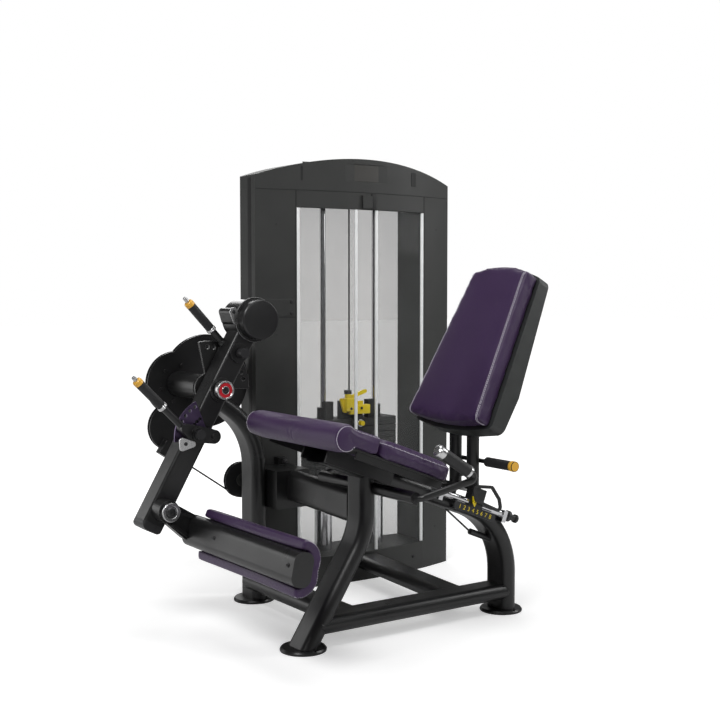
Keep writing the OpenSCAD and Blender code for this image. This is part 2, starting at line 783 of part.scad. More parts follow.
// Lever that lifts the latch, hinged on a pin between the posts
module release_lever() datum() color(BLACK) {
    side_plate(-8, 8) difference() {
        link_outline(latch_at, 11, [697, 511], 9);
        translate(latch_at) circle(4 + run);
    }
    translate([697, 0, 511]) {
        ycyl(7, -110, 60);
        ycyl(15, -190, -76);
        ycyl(16, -206, -190);
    }
}

// ---------------------------------------------------------------- weight tower

// Plan of the tower between its bowed front and back
module tower_plan(inset=0) intersection() {
    translate([tower_x, tower_front + tower_r + inset]) circle(tower_r, $fn=180);
    translate([tower_x, tower_back - back_r - inset]) circle(back_r, $fn=240);
    translate([tower_x - tower_w / 2 + inset, 0]) square([tower_w - 2 * inset, 1000]);
}

// Hollow columns; the left one has a slot for the lower pulley, whose axle it carries
column_w = (tower_w - opening_w) / 2;
module column_plan(s, inset) intersection() {
    tower_plan(inset);
    translate([tower_x + s * (opening_w + column_w) / 2 - column_w / 2 + inset, 0])
        square([column_w - 2 * inset, 1000]);
}
module tower_columns() datum() color(SHROUD) {
    for (s = [-1, 1]) difference() {
        linear_extrude(cap_z) column_plan(s, 0);
        translate([0, 0, shell]) linear_extrude(cap_z) column_plan(s, shell);
        if (s < 0) {
            translate([tower_x - tower_w / 2 - 1, cable_y - 17, low_pulley[1] - 80])
                cube([shell + 2, 34, 160]);
            for (z = [311, 461]) translate([352, 0, z]) ycyl(5, 600, 660);
        }
    }
    for (y = [cable_y - 17, cable_y + 12]) side_plate(y, y + 5) difference() {
        union() {
            translate(low_pulley) circle(22);
            translate([low_pulley[0], low_pulley[1] - 22]) square([80, 44]);
        }
        translate(low_pulley) circle(8 + run);
    }
}

// Header with its small lamp box, kick panel, and the plates that carry the top pulleys
module tower_crossmembers() datum() color(SHROUD) {
    difference() {
        linear_extrude(sill_z) between_columns(0.01);
        translate([0, 0, -1]) linear_extrude(sill_z - shell + 1) intersection() {
            between_columns(shell);
            tower_plan(shell);
        }
    }
    translate([0, 0, header_z]) linear_extrude(cap_z - header_z) difference() {
        between_columns(0.01);
        translate([tower_x, tower_front + tower_r + 24]) circle(tower_r, $fn=180);
    }
    translate([tower_x - 20, tower_front - 6, header_z + 4]) cube([40, 12, 44]);
    for (y = [cable_y - 17, cable_y + 12]) translate([0, y, 0]) difference() {
        translate([up_x - 18, 0, cap_z + 0.01]) cube([990 - up_x, 5, 30]);
        for (x = [up_x + top_r, stack_x - top_r]) translate([x, 0, top_pulley_z]) ycyl(8 + run, -1, 6);
    }
    for (s = [-1, 1]) difference() {
        translate([stack_x + s * rod_gap - 16, cable_y - 13, cap_z + 4]) cube([32, 26, 20]);
        translate([stack_x + s * rod_gap, cable_y, cap_z]) cylinder(r=rod_r, h=30);
        translate([stack_x + s * rod_gap - 20, cable_y - 5, cap_z + 18]) cube([40, 10, 10]);
    }
}

module between_columns(inset) intersection() {
    tower_plan();
    translate([tower_x - opening_w / 2 + inset, 0]) square([opening_w - 2 * inset, 1000]);
}

// Curved top with a sunk placard
module tower_cap() datum() color(SHROUD) {
    apex = tower_h + tower_rise;
    arc_r = (pow(tower_w / 2, 2) + pow(tower_rise, 2)) / (2 * tower_rise);
    difference() {
        intersection() {
            translate([0, 0, cap_z]) linear_extrude(apex - cap_z + 10) tower_plan();
            translate([tower_x, 0, apex - arc_r]) ycyl_fine(arc_r);
        }
        intersection() {
            translate([0, 0, cap_z - 1]) linear_extrude(apex - cap_z + 10) tower_plan(shell);
            translate([tower_x, 0, apex - arc_r]) ycyl_fine(arc_r - shell);
        }
        translate([tower_x - 256, tower_front - 10, 1437]) cube([480, 13, 62]);
    }
}
module ycyl_fine(r) rotate([-90, 0, 0]) cylinder(r=r, h=1000, $fn=240);

module rear_panel() datum() color(PANEL) translate([0, 0, sill_z]) linear_extrude(cap_z - sill_z)
    difference() {
        between_columns(0.01);
        translate([tower_x, tower_back - back_r - 3]) circle(back_r, $fn=240);
    }

// Clear shields on each side of the gap that gives the hand access to the pins
module shields() datum() color(CLEAR) translate([0, 0, sill_z]) linear_extrude(header_z - sill_z)
    difference() {
        intersection() {
            between_columns(0.01);
            translate([tower_x, tower_front + tower_r + 8]) circle(tower_r, $fn=180);
        }
        translate([tower_x, tower_front + tower_r + 11]) circle(tower_r, $fn=180);
        translate([tower_x - gap_w / 2, 0]) square([gap_w, 1000]);
    }

// Guide rods on their risers, with the rubber stops under the stack
module guide_rods() datum() color(CHROME) for (s = [-1, 1]) translate([stack_x + s * rod_gap, stack_y, 0]) {
    translate([0, 0, sill_z]) cylinder(r=rod_r, h=cap_z + 20 - sill_z);
    translate([0, 0, sill_z]) difference() {
        cylinder(r=32, h=stack_z - sill_z - 2);
        translate([0, 0, -1]) cylinder(r=rod_r, h=200);
    }
}

module plate_outline(h) linear_extrude(h) difference() {
    round_rect(plate_w, plate_d, 6);
    for (s = [-1, 1]) translate([s * rod_gap, 0]) circle(rod_r + 1.5);
    circle(13);
}

module weight_plates() datum() color(BLACK) for (i = [0 : plate_n - 1])
    translate([stack_x, stack_y, stack_z + i * plate_pitch]) difference() {
        plate_outline(plate_h);
        translate([0, -plate_d, plate_h / 2]) rotate([-90, 0, 0]) cylinder(r=5.5, h=plate_d);
    }

// Head plate with its stem, carriers and the two flip weights
module head_plate() datum() color(BLACK) translate([stack_x, stack_y, head_z]) {
    difference() {
        union() {
            linear_extrude(28) round_rect(plate_w, plate_d, 6);
            for (s = [-1, 1]) translate([s * rod_gap, 0, 28]) cylinder(r=22, h=44);
            translate([0, 0, 28]) cylinder(r=16, h=40);
            translate([0, 0, -plate_n * plate_pitch + 6]) cylinder(r=11, h=plate_n * plate_pitch);
            for (x = [-126, -58, 62]) translate([x, -34, 28]) cube([34, 26, 66]);
            translate([8, -40, 28]) cube([26, 24, 40]);
            translate([0, -plate_d / 2 - 22, 14]) rotate([-90, 0, 0]) cylinder(r=27, h=22);
            translate([-50, 0, 62]) ycyl(4, -51, -30);
        }
        for (s = [-1, 1]) translate([s * rod_gap, 0, -1]) cylinder(r=rod_r + 1.5, h=100);
        translate([0, -plate_d / 2 - 23, 14]) rotate([-90, 0, 0]) cylinder(r=5.05, h=60);
        translate([0, 0, 60]) cylinder(r=cable_r + 1, h=20);
    }
}

module selector_pin() datum() color(YELLOW) translate([stack_x, stack_y - plate_d / 2 - 22, head_z + 14])
    rotate([-90, 0, 0]) {
        cylinder(r=5, h=52);
        translate([0, 0, -16]) cylinder(r=9, h=16);
    }

// Flip lever of the small extra weights, hinged on the head plate
module increment_lever() datum() color(YELLOW) translate([stack_x, stack_y - 51, head_z])
    side_plate(0, 8) difference() {
        union() {
            link_outline([-50, 62], 10, [-20, 110], 6);
            link_outline([-53, 68], 8, [-66, 100], 6.2);
            link_outline([-21, 109], 6.5, [38, 128], 7);
        }
        translate([-50, 62]) circle(4 + run);
    }

// Grooved pulley on its own axle
module pulley(r, groove_r) rotate([90, 0, 0]) rotate_extrude()
    polygon([[0, -16], [8, -16], [8, -8], [r, -8], [r, -6], [groove_r, -3.2], [groove_r, 3.2], [r, 6], [r, 8],
             [8, 8], [8, 16], [0, 16]]);
module low_pulley() datum() color(BLACK) translate([low_pulley[0], cable_y, low_pulley[1]])
    pulley(pulley_r, pulley_groove);
module column_pulley() datum() color(BLACK) translate([up_x + top_r, cable_y, top_pulley_z])
    pulley(top_groove + 8, top_groove);
module stack_pulley() datum() color(BLACK) translate([stack_x - top_r, cable_y, top_pulley_z])
    pulley(top_groove + 8, top_groove);

// Points round a circle between two angles
function arc(centre, r, a0, a1, steps) =
    [for (i = [0 : steps]) centre + r * [cos(a0 + (a1 - a0) * i / steps), sin(a0 + (a1 - a0) * i / steps)]];

// Cable from the cam's foot, under the lower pulley and up the column to the stack's pulley
lobe = [cam_low[0], cam_low[1] + knee_z];
lobe_r = cam_low[2] + cable_r + 0.3;
low_r = pulley_groove + cable_r + 0.3;
top_r = top_groove + cable_r + 0.3;
lie = atan2(low_pulley[1] - lobe[1], low_pulley[0] - lobe[0])
    - acos((lobe_r - low_r) / norm(low_pulley - lobe));
function in_side(points) = [for (p = points) [p[0], cable_y, p[1]]];
module cam_cable() datum() color(BLACK) sweep(in_side(concat(
    arc(lobe, lobe_r, lie - 66, lie, 8),
    arc(low_pulley, low_r, lie, 0, 12),
    arc([up_x + top_r, top_pulley_z], top_r, 180, 90, 8),
    [[stack_x - top_r - 0.5, top_pulley_z + top_r]])), cable_r, 8, [0, 1, 0]);

// Last stretch, over the stack's pulley and down to the head plate
module lift_cable() datum() color(BLACK) sweep(in_side(concat(
    arc([stack_x - top_r, top_pulley_z], top_r, 90, 0, 8),
    [[stack_x, head_z + 68.5]])), cable_r, 8, [0, 1, 0]);

pivot_leg();
seat_front_leg();
seat_boom();
boom_plug();
base_tubes();
main_beam();
beam_socket();
foot_plates();
pivot_housing();
pivot_bearings();
pivot_shaft();
cam();
start_sector();
knee_cap();
arm_tube();
arm_hub();
arm_end_cap();
counterweight();
start_plunger();
start_lever();
start_grip();
start_cap();
start_button();
shin_pin();
pad_sector();
pad_bracket();
pad_grip();
pad_cap();
pad_plunger();
shin_link();
shin_tube();
shin_pad();
seat_pan();
front_cushion();
rear_cushion();
seat_handles();
handle_grips();
handle_caps();
slide_rails();
number_plate();
assist_cylinder();
back_carriage();
back_cover();
back_pad();
release_lever();
tower_columns();
tower_crossmembers();
tower_cap();
rear_panel();
shields();
guide_rods();
weight_plates();
head_plate();
increment_lever();
selector_pin();
low_pulley();
column_pulley();
stack_pulley();
cam_cable();
lift_cable();
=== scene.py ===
import math

import bmesh
import bpy
from mathutils import Matrix, Vector
from mathutils.bvhtree import BVHTree
from mathutils.kdtree import KDTree


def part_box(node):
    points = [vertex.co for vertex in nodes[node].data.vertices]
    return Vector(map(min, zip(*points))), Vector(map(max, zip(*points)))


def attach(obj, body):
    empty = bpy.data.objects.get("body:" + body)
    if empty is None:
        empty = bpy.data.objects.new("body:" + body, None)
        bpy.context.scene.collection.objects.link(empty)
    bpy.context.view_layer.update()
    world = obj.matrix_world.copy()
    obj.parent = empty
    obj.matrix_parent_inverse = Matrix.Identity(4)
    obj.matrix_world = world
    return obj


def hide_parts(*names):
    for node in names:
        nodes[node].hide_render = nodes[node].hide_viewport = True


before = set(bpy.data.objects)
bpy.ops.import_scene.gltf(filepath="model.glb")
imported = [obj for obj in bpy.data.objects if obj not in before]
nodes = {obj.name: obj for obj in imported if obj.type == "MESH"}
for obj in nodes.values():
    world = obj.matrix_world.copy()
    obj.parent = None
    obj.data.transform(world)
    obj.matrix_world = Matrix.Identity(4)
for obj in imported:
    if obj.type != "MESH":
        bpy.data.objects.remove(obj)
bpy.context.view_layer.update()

# ---------------------------------------------------------------- frames of the part

SEAT_TILT = math.radians(21)
BACK_TILT = math.radians(28)
ARM_TILT = math.radians(29.8)
SHIN_TILT = math.radians(12)

knee_lo, knee_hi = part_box("pivot_shaft")
seat_lo, seat_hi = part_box("rear_cushion")
KNEE_Z = 741
ORIGIN = Vector(((knee_lo.x + knee_hi.x) / 2, (seat_lo.y + seat_hi.y) / 2,
                 (knee_lo.z + knee_hi.z) / 2 - KNEE_Z / 1000))


def at(x, y, z):
    """A point given in millimetres from the knee axis in X, the seat's middle in Y and the floor in Z."""
    return ORIGIN + Vector((x, y, z)) / 1000


def frame_at(x, z, tilt):
    """Matrix of a frame in millimetres whose +Z leans back by tilt."""
    scale = Matrix.Diagonal((0.001, 0.001, 0.001, 1))
    return Matrix.Translation(at(x, 0, z)) @ Matrix.Rotation(tilt, 4, "Y") @ scale


SEAT = frame_at(72, 622, SEAT_TILT)
BACK = frame_at(557, 640, BACK_TILT)
ARM = frame_at(0, KNEE_Z, ARM_TILT)
SHIN = frame_at(-107, 310, SHIN_TILT)
WORLD = frame_at(0, 0, 0)

# ---------------------------------------------------------------- materials


class Shader:
    """A node material under construction, with object coordinates in metres."""

    def __init__(self, name, **sockets):
        self.mat = bpy.data.materials.new(name)
        self.mat.use_nodes = True
        self.tree = self.mat.node_tree
        self.bsdf = self.tree.nodes["Principled BSDF"]
        for key, value in sockets.items():
            self.bsdf.inputs[key.replace("_", " ")].default_value = value
        self.coord = self.tree.nodes.new("ShaderNodeTexCoord").outputs["Object"]
        self.normal = None

    def node(self, kind, inputs=(), **props):
        n = self.tree.nodes.new(kind)
        for key, value in props.items():
            setattr(n, key, value)
        for key, value in dict(inputs).items():
            if isinstance(value, bpy.types.NodeSocket):
                self.tree.links.new(value, n.inputs[key])
            else:
                n.inputs[key].default_value = value
        return n

    def noise(self, scale, detail=2.0, rough=0.5):
        n = self.node("ShaderNodeTexNoise", {"Vector": self.coord, "Scale": scale, "Detail": detail,
                                             "Roughness": rough})
        return n.outputs["Fac"]

    def cells(self, scale, feature="F1"):
        n = self.node("ShaderNodeTexVoronoi", {"Vector": self.coord, "Scale": scale}, feature=feature)
        return n.outputs["Distance"]

    def remap(self, fac, a, b, lo=0.0, hi=1.0):
        ends = {"From Min": lo, "From Max": hi, "To Min": a, "To Max": b}
        return self.node("ShaderNodeMapRange", {"Value": fac, **ends}).outputs["Result"]

    def math(self, op, a, b):
        return self.node("ShaderNodeMath", {0: a, 1: b}, operation=op).outputs[0]

    def mix(self, fac, a, b):
        n = self.node("ShaderNodeMix", data_type="RGBA")
        for key, value in ((0, fac), (6, a), (7, b)):
            if isinstance(value, bpy.types.NodeSocket):
                self.tree.links.new(value, n.inputs[key])
            else:
                n.inputs[key].default_value = value if key == 0 else (*value, 1)
        return n.outputs[2]

    def link(self, out, socket):
        self.tree.links.new(out, self.bsdf.inputs[socket])

    def bevel(self, radius):
        self.normal = self.node("ShaderNodeBevel", {"Radius": radius}, samples=4).outputs["Normal"]

    def edges(self, sharp=0.93, flat=0.995):
        """1 along sharp edges, 0 on open faces: how far the bevelled normal turns from the face's own."""
        face = self.node("ShaderNodeNewGeometry").outputs["Normal"]
        dot = self.node("ShaderNodeVectorMath", {0: self.normal, 1: face}, operation="DOT_PRODUCT")
        return self.remap(dot.outputs["Value"], 1.0, 0.0, sharp, flat)

    def bump(self, height, strength, distance):
        inputs = {"Height": height, "Strength": strength, "Distance": distance}
        if self.normal is not None:
            inputs["Normal"] = self.normal
        self.normal = self.node("ShaderNodeBump", inputs).outputs["Normal"]

    def done(self):
        if self.normal is not None:
            self.link(self.normal, "Normal")
        return self.mat


PATCHES = (0.3, 0.7)


def coated(name, low, high, rough, grain=1500, bump=0.12, edge=None, coat=0.0):
    """Powder coat: fine orange peel, slow colour variation, lighter edges that are partly wear and partly a painted
    highlight.
    """
    s = Shader(name, Coat_Weight=coat, Coat_Roughness=0.25)
    s.bevel(0.0016)
    patch = s.noise(7, 4)
    fine = s.noise(grain, 3, 0.6)
    colour = s.mix(s.remap(patch, 0, 1, *PATCHES), low, high)
    speck = s.remap(fine, 0.0, 0.35, 0.45, 0.75)
    speck_colour = tuple(min(1, c * 2.2 + 0.01) for c in high)
    colour = s.mix(speck, colour, speck_colour)
    # Lighter along sharp edges: partly edge wear, partly a painted highlight.
    if edge:
        colour = s.mix(s.math("MULTIPLY", s.edges(), 0.5), colour, edge)
    s.link(colour, "Base Color")
    worn = s.remap(patch, rough - 0.05, rough + 0.07, *PATCHES)
    s.link(s.math("ADD", worn, s.remap(fine, -0.03, 0.05)), "Roughness")
    s.bump(fine, bump, 0.0006)
    s.bump(s.noise(120, 2), 0.05, 0.002)
    return s.done()


def vinyl(name, deep, lit, rough):
    """Upholstery vinyl: leather cells, fine creases with painted shade in them, soft sheen and rubbed patches."""
    s = Shader(name, Sheen_Weight=0.12, Sheen_Roughness=0.45, Specular_IOR_Level=0.45, Coat_Weight=0.06,
               Coat_Roughness=0.4)
    s.bsdf.inputs["Sheen Tint"].default_value = (0.75, 0.68, 0.85, 1)
    grain = s.cells(820)
    crease = s.cells(520, "DISTANCE_TO_EDGE")
    patch = s.noise(5, 5, 0.6)
    colour = s.mix(s.remap(patch, 0, 1, *PATCHES), deep, lit)
    # Darker in the grain's creases: painted shade.
    pit = s.remap(crease, 0.55, 0.0, 0.0, 0.12)
    colour = s.mix(pit, colour, tuple(c * 0.55 for c in deep))
    s.link(colour, "Base Color")
    rubbed = s.remap(patch, rough - 0.06, rough + 0.08, *PATCHES)
    s.link(s.math("ADD", rubbed, s.remap(grain, 0.06, -0.04)), "Roughness")
    s.bump(s.remap(crease, 0, 1, 0.0, 0.18), 0.35, 0.0004)
    s.bump(grain, 0.22, 0.0004)
    s.bump(s.noise(38, 4, 0.6), 0.12, 0.004)
    return s.done()


def plastic(name, low, high, rough, grain=0, coat=0.0):
    """Moulded plastic, pebbled where it has a grain."""
    s = Shader(name, Coat_Weight=coat, Coat_Roughness=0.15)
    s.bevel(0.001)
    patch = s.noise(14, 4)
    s.link(s.mix(s.remap(patch, 0, 1, *PATCHES), low, high), "Base Color")
    s.link(s.remap(s.noise(90, 3), rough - 0.04, rough + 0.08), "Roughness")
    if grain:
        s.bump(s.cells(grain), 0.3, 0.0004)
    s.bump(s.noise(300, 2), 0.04, 0.001)
    return s.done()


def metal(name, low, high, rough, brushed=None):
    """Bare or plated metal, with brushing along one axis where it has any."""
    s = Shader(name, Metallic=1.0)
    s.bevel(0.001)
    patch = s.noise(20, 4)
    s.link(s.mix(patch, low, high), "Base Color")
    if brushed:
        mapping = s.node("ShaderNodeMapping", {"Vector": s.coord, "Scale": brushed})
        streak = s.node("ShaderNodeTexNoise", {"Vector": mapping.outputs[0], "Scale": 40.0, "Detail": 4.0})
        s.link(s.remap(streak.outputs["Fac"], rough - 0.08, rough + 0.14), "Roughness")
        s.bump(streak.outputs["Fac"], 0.06, 0.0005)
    else:
        s.link(s.remap(s.noise(30, 3), rough - 0.03, rough + 0.06), "Roughness")
    return s.done()


def rubber(name, low, high):
    """Grip rubber, cable jacket and thread."""
    s = Shader(name, Specular_IOR_Level=0.4, Sheen_Weight=0.08)
    patch = s.noise(30, 4)
    s.link(s.mix(patch, low, high), "Base Color")
    s.link(s.remap(s.noise(200, 3), 0.45, 0.62), "Roughness")
    s.bump(s.noise(900, 3), 0.3, 0.0005)
    return s.done()


def smoked(name, low, high, alpha):
    """Tinted see-through sheet."""
    s = Shader(name, Roughness=0.2, Alpha=alpha)
    patch = s.noise(4, 3)
    s.link(s.mix(patch, low, high), "Base Color")
    s.link(s.remap(patch, 0.14, 0.24), "Roughness")
    return s.done()


def clear(name):
    """Clear sheet with faint smears."""
    s = Shader(name, Roughness=0.06)
    s.bsdf.inputs["Base Color"].default_value = (0.35, 0.36, 0.36, 1)
    smear = s.noise(9, 5, 0.65)
    s.link(s.remap(smear, 0.03, 0.11, 0.4, 0.75), "Roughness")
    s.link(s.remap(smear, 0.04, 0.07, 0.4, 0.75), "Alpha")
    return s.done()


M = {
    "frame": coated("frame_black", (0.0050, 0.0051, 0.0053), (0.008, 0.008, 0.0084), 0.31,
                    edge=(0.02, 0.02, 0.021), coat=0.1),
    # The arm's edge colour, far lighter than its body, is a painted highlight along its rounded edges.
    "arm": coated("arm_black", (0.006, 0.006, 0.0063), (0.009, 0.009, 0.0095), 0.3,
                  edge=(0.09, 0.09, 0.095), coat=0.12),
    "tower": coated("tower_grey", (0.021, 0.022, 0.021), (0.029, 0.030, 0.0285), 0.5, grain=1200, bump=0.3,
                    edge=(0.07, 0.07, 0.069)),
    "tower_panel": coated("tower_placard", (0.038, 0.036, 0.033), (0.046, 0.044, 0.04), 0.42, grain=1800,
                          bump=0.08),
    # Near-black for the tower's seams and gaps, and for dark pieces that paint shade on the lamp box and the tower's
    # sides.
    "tower_dark": coated("tower_gaps_and_shade", (0.008, 0.008, 0.008), (0.012, 0.012, 0.012), 0.6),
    "panel": smoked("rear_grey", (0.46, 0.44, 0.41), (0.52, 0.50, 0.47), 0.36),
    "vinyl": vinyl("purple_vinyl", (0.034, 0.011, 0.058), (0.048, 0.018, 0.080), 0.36),
    "shell": plastic("moulded_shell", (0.024, 0.026, 0.026), (0.034, 0.037, 0.036), 0.45, grain=900),
    "grip": rubber("grip_rubber", (0.011, 0.011, 0.0115), (0.02, 0.02, 0.021)),
    "cable": rubber("cable_jacket", (0.012, 0.012, 0.012), (0.02, 0.02, 0.02)),
    "amber": plastic("amber_cap", (0.80, 0.40, 0.03), (0.92, 0.52, 0.06), 0.3, coat=0.25),
    "yellow": plastic("yellow_plastic", (0.80, 0.60, 0.006), (0.90, 0.70, 0.015), 0.34, coat=0.15),
    "red": plastic("red_plastic", (0.48, 0.008, 0.016), (0.6, 0.014, 0.026), 0.28, coat=0.3),
    "black": plastic("black_plastic", (0.012, 0.012, 0.013), (0.022, 0.022, 0.024), 0.38),
    "chrome": metal("chrome", (0.60, 0.60, 0.62), (0.68, 0.68, 0.69), 0.13),
    "steel": metal("zinc_steel", (0.42, 0.42, 0.43), (0.56, 0.56, 0.56), 0.3, brushed=(1, 1, 20)),
    "silver": metal("silver_cap", (0.6, 0.6, 0.61), (0.7, 0.7, 0.7), 0.24, brushed=(30, 1, 1)),
    "iron": coated("plate_iron", (0.014, 0.014, 0.014), (0.024, 0.023, 0.022), 0.55, grain=700, bump=0.35),
    "clear": clear("clear_shield"),
    "thread": rubber("stitch_thread", (0.55, 0.51, 0.60), (0.68, 0.64, 0.72)),
    "edge": plastic("shield_edge", (0.86, 0.88, 0.88), (0.94, 0.95, 0.95), 0.25),
    "sector_black": coated("sector_black", (0.012, 0.012, 0.012), (0.02, 0.02, 0.02), 0.35,
                           edge=(0.75, 0.75, 0.75)),
    "sector": metal("sector_plate", (0.10, 0.07, 0.14), (0.16, 0.12, 0.21), 0.3),
}

NODE_MATERIALS = {
    "frame": "pivot_leg seat_front_leg seat_boom base_tubes main_beam beam_socket foot_plates pivot_housing cam "
             "seat_pan seat_handles back_carriage release_lever shin_link shin_tube pad_bracket start_lever",
    "arm": "arm_tube arm_hub counterweight",
    "black": "boom_plug arm_end_cap start_plunger pad_plunger number_plate assist_cylinder low_pulley column_pulley "
             "stack_pulley",
    "steel": "pivot_bearings pivot_shaft start_button",
    "sector_black": "start_sector",
    "sector": "pad_sector",
    "silver": "knee_cap handle_caps",
    "grip": "start_grip pad_grip handle_grips",
    "amber": "start_cap pad_cap",
    "chrome": "shin_pin slide_rails guide_rods",
    "vinyl": "shin_pad front_cushion rear_cushion back_pad",
    "shell": "back_cover",
    "tower": "tower_columns tower_crossmembers tower_cap",
    "panel": "rear_panel",
    "clear": "shields",
    "iron": "weight_plates head_plate",
    "yellow": "increment_lever selector_pin",
    "cable": "cam_cable lift_cable",
}
for key, names in NODE_MATERIALS.items():
    for name in names.split():
        mesh = nodes[name].data
        mesh.materials.clear()
        mesh.materials.append(M[key])

# ---------------------------------------------------------------- mesh tools


def piece(name, bm, material, body, smooth=30):
    """Turns a bmesh into a shaded piece that rides on a body. Its points are in the row frame, in metres."""
    bmesh.ops.recalc_face_normals(bm, faces=bm.faces)
    mesh = bpy.data.meshes.new(name)
    bm.to_mesh(mesh)
    bm.free()
    return piece_from_mesh(name, mesh, material, body, smooth)


def piece_from_mesh(name, mesh, material, body, smooth):
    """Gives a mesh its material, slot and body; smooth is the angle in degrees past which edges stay sharp."""
    mesh.name = name
    for poly in mesh.polygons:
        poly.use_smooth = True
    if smooth < 180:
        mesh.set_sharp_from_angle(angle=math.radians(smooth))
    mesh.materials.clear()
    mesh.materials.append(M[material])
    obj = bpy.data.objects.new(name, mesh)
    bpy.context.scene.collection.objects.link(obj)
    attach(obj, body)
    return obj


def add_lathe(bm, matrix, profile, segments=40):
    """Turns (radius, height) points round the matrix's +Z. Points of zero radius close it."""
    rings = []
    for r, h in profile:
        if r < 1e-6:
            rings.append([bm.verts.new(matrix @ Vector((0, 0, h)))])
        else:
            rings.append([bm.verts.new(matrix @ Vector((r * math.cos(a), r * math.sin(a), h)))
                          for a in (2 * math.pi * i / segments for i in range(segments))])
    for low, high in zip(rings, rings[1:]):
        for i in range(segments):
            j = (i + 1) % segments
            quad = [low[i % len(low)], low[j % len(low)], high[j % len(high)], high[i % len(high)]]
            quad = list(dict.fromkeys(quad))
            if len(quad) > 2:
                bm.faces.new(quad)


def add_ring(bm, matrix, profile, segments=48):
    """A closed profile of (radius, height) points turned round the matrix's +Z."""
    add_lathe(bm, matrix, list(profile) + [profile[0]], segments)
    bmesh.ops.remove_doubles(bm, verts=bm.verts, dist=1e-7)


def along_y(matrix, x, y, z, flip=False):
    """A frame at a point of the matrix whose +Z runs along +Y, or along -Y."""
    turn = Matrix.Rotation(math.radians(90 if flip else -90), 4, "X")
    return matrix @ Matrix.Translation((x, y, z)) @ turn


def leaning(matrix, place, degrees):
    """A frame at a point of the matrix, turned about +Y."""
    return matrix @ Matrix.Translation(place) @ Matrix.Rotation(math.radians(degrees), 4, "Y")


def add_tube(bm, points, radius, sides):
    """Sweeps a round section along points given in the row frame, in metres."""
    up = None
    rings = []
    for i, p in enumerate(points):
        t = (points[min(i + 1, len(points) - 1)] - points[max(i - 1, 0)]).normalized()
        if up is None:
            up = t.orthogonal().normalized()
        up = (up - t * up.dot(t)).normalized()
        side = t.cross(up)
        rings.append([bm.verts.new(p + radius * (math.cos(w) * up + math.sin(w) * side))
                      for w in (2 * math.pi * k / sides for k in range(sides))])
    for lo, hi in zip(rings, rings[1:]):
        for k in range(sides):
            j = (k + 1) % sides
            bm.faces.new((lo[k], lo[j], hi[j], hi[k]))
    bm.faces.new(rings[0][::-1])
    bm.faces.new(rings[-1])


def add_block(bm, matrix, low, high, bevel, segments=2):
    """A box between two corners of the matrix's frame, its edges rounded by bevel."""
    made = bmesh.ops.create_cube(bm, size=1.0)
    size = [b - a for a, b in zip(low, high)]
    middle = [(a + b) / 2 for a, b in zip(low, high)]
    verts = made["verts"]
    for v in verts:
        v.co = Vector([c * s + m for c, s, m in zip(v.co, size, middle)])
    edges = {e for v in verts for e in v.link_edges}
    out = bmesh.ops.bevel(bm, geom=list(edges), offset=bevel, segments=segments, affect="EDGES", profile=0.5)
    stack = list({v for f in out["faces"] for v in f.verts} | {v for v in verts if v.is_valid})
    seen = set(stack)
    while stack:
        v = stack.pop()
        for e in v.link_edges:
            w = e.other_vert(v)
            if w not in seen:
                seen.add(w)
                stack.append(w)
    for v in seen:
        v.co = matrix @ v.co


def add_screw(bm, matrix, r, head):
    """Button-head screw with a round recess, standing on the matrix's +Z."""
    profile = [(0, -0.5), (r, -0.5), (r, head * 0.35), (r * 0.86, head * 0.8), (r * 0.6, head),
               (r * 0.42, head), (r * 0.4, head * 0.35), (0, head * 0.35)]
    add_lathe(bm, matrix, profile, 24)


def link_outline(points, steps=10):
    """Outer tangent outline round a chain of circles (x, z, r), convex hull of their points."""
    pts = [(x + r * math.cos(a), z + r * math.sin(a)) for x, z, r in points
           for a in (2 * math.pi * i / (4 * steps) for i in range(4 * steps))]
    pts = sorted(set(pts))
    hull = []
    for sequence in (pts, pts[::-1]):
        part = []
        for p in sequence:
            while len(part) > 1 and ((part[-1][0] - part[-2][0]) * (p[1] - part[-2][1])
                                     - (part[-1][1] - part[-2][1]) * (p[0] - part[-2][0])) <= 0:
                part.pop()
            part.append(p)
        hull += part[:-1]
    return hull


def add_plate(bm, matrix, outline, y0, y1, chamfer=0.6):
    """A flat plate of an outline in X and Z, between y0 and y1, with eased edges."""
    cx = sum(p[0] for p in outline) / len(outline)
    cz = sum(p[1] for p in outline) / len(outline)

    def loop(y, inset):
        ring = []
        for x, z in outline:
            d = math.hypot(x - cx, z - cz) or 1
            k = 1 - inset / d
            ring.append(bm.verts.new(matrix @ Vector((cx + (x - cx) * k, y, cz + (z - cz) * k))))
        return ring

    loops = [loop(y0, chamfer), loop(y0 + chamfer, 0), loop(y1 - chamfer, 0), loop(y1, chamfer)]
    n = len(outline)
    for lo, hi in zip(loops, loops[1:]):
        for i in range(n):
            bm.faces.new((lo[i], lo[(i + 1) % n], hi[(i + 1) % n], hi[i]))
    bm.faces.new(loops[0][::-1])
    bm.faces.new(loops[-1])


# ---------------------------------------------------------------- upholstery


def prism(matrix, outline, y0, y1, plane="XZ"):
    """Closed prism of an outline; plane XZ runs along Y, plane XY along Z, plane YZ along X."""
    bm = bmesh.new()

    def put(u, v, w):
        return matrix @ Vector({"XZ": (u, w, v), "XY": (u, v, w), "YZ": (w, u, v)}[plane])

    low = [bm.verts.new(put(u, v, y0)) for u, v in outline]
    high = [bm.verts.new(put(u, v, y1)) for u, v in outline]
    n = len(outline)
    for i in range(n):
        bm.faces.new((low[i], low[(i + 1) % n], high[(i + 1) % n], high[i]))
    bm.faces.new(low[::-1])
    bm.faces.new(high)
    bmesh.ops.recalc_face_normals(bm, faces=bm.faces)
    mesh = bpy.data.meshes.new("base")
    bm.to_mesh(mesh)
    bm.free()
    return mesh


def evaluated_mesh(obj):
    dg = bpy.context.evaluated_depsgraph_get()
    return bpy.data.meshes.new_from_object(obj.evaluated_get(dg), depsgraph=dg)


CLOTH_FRAMES = 20


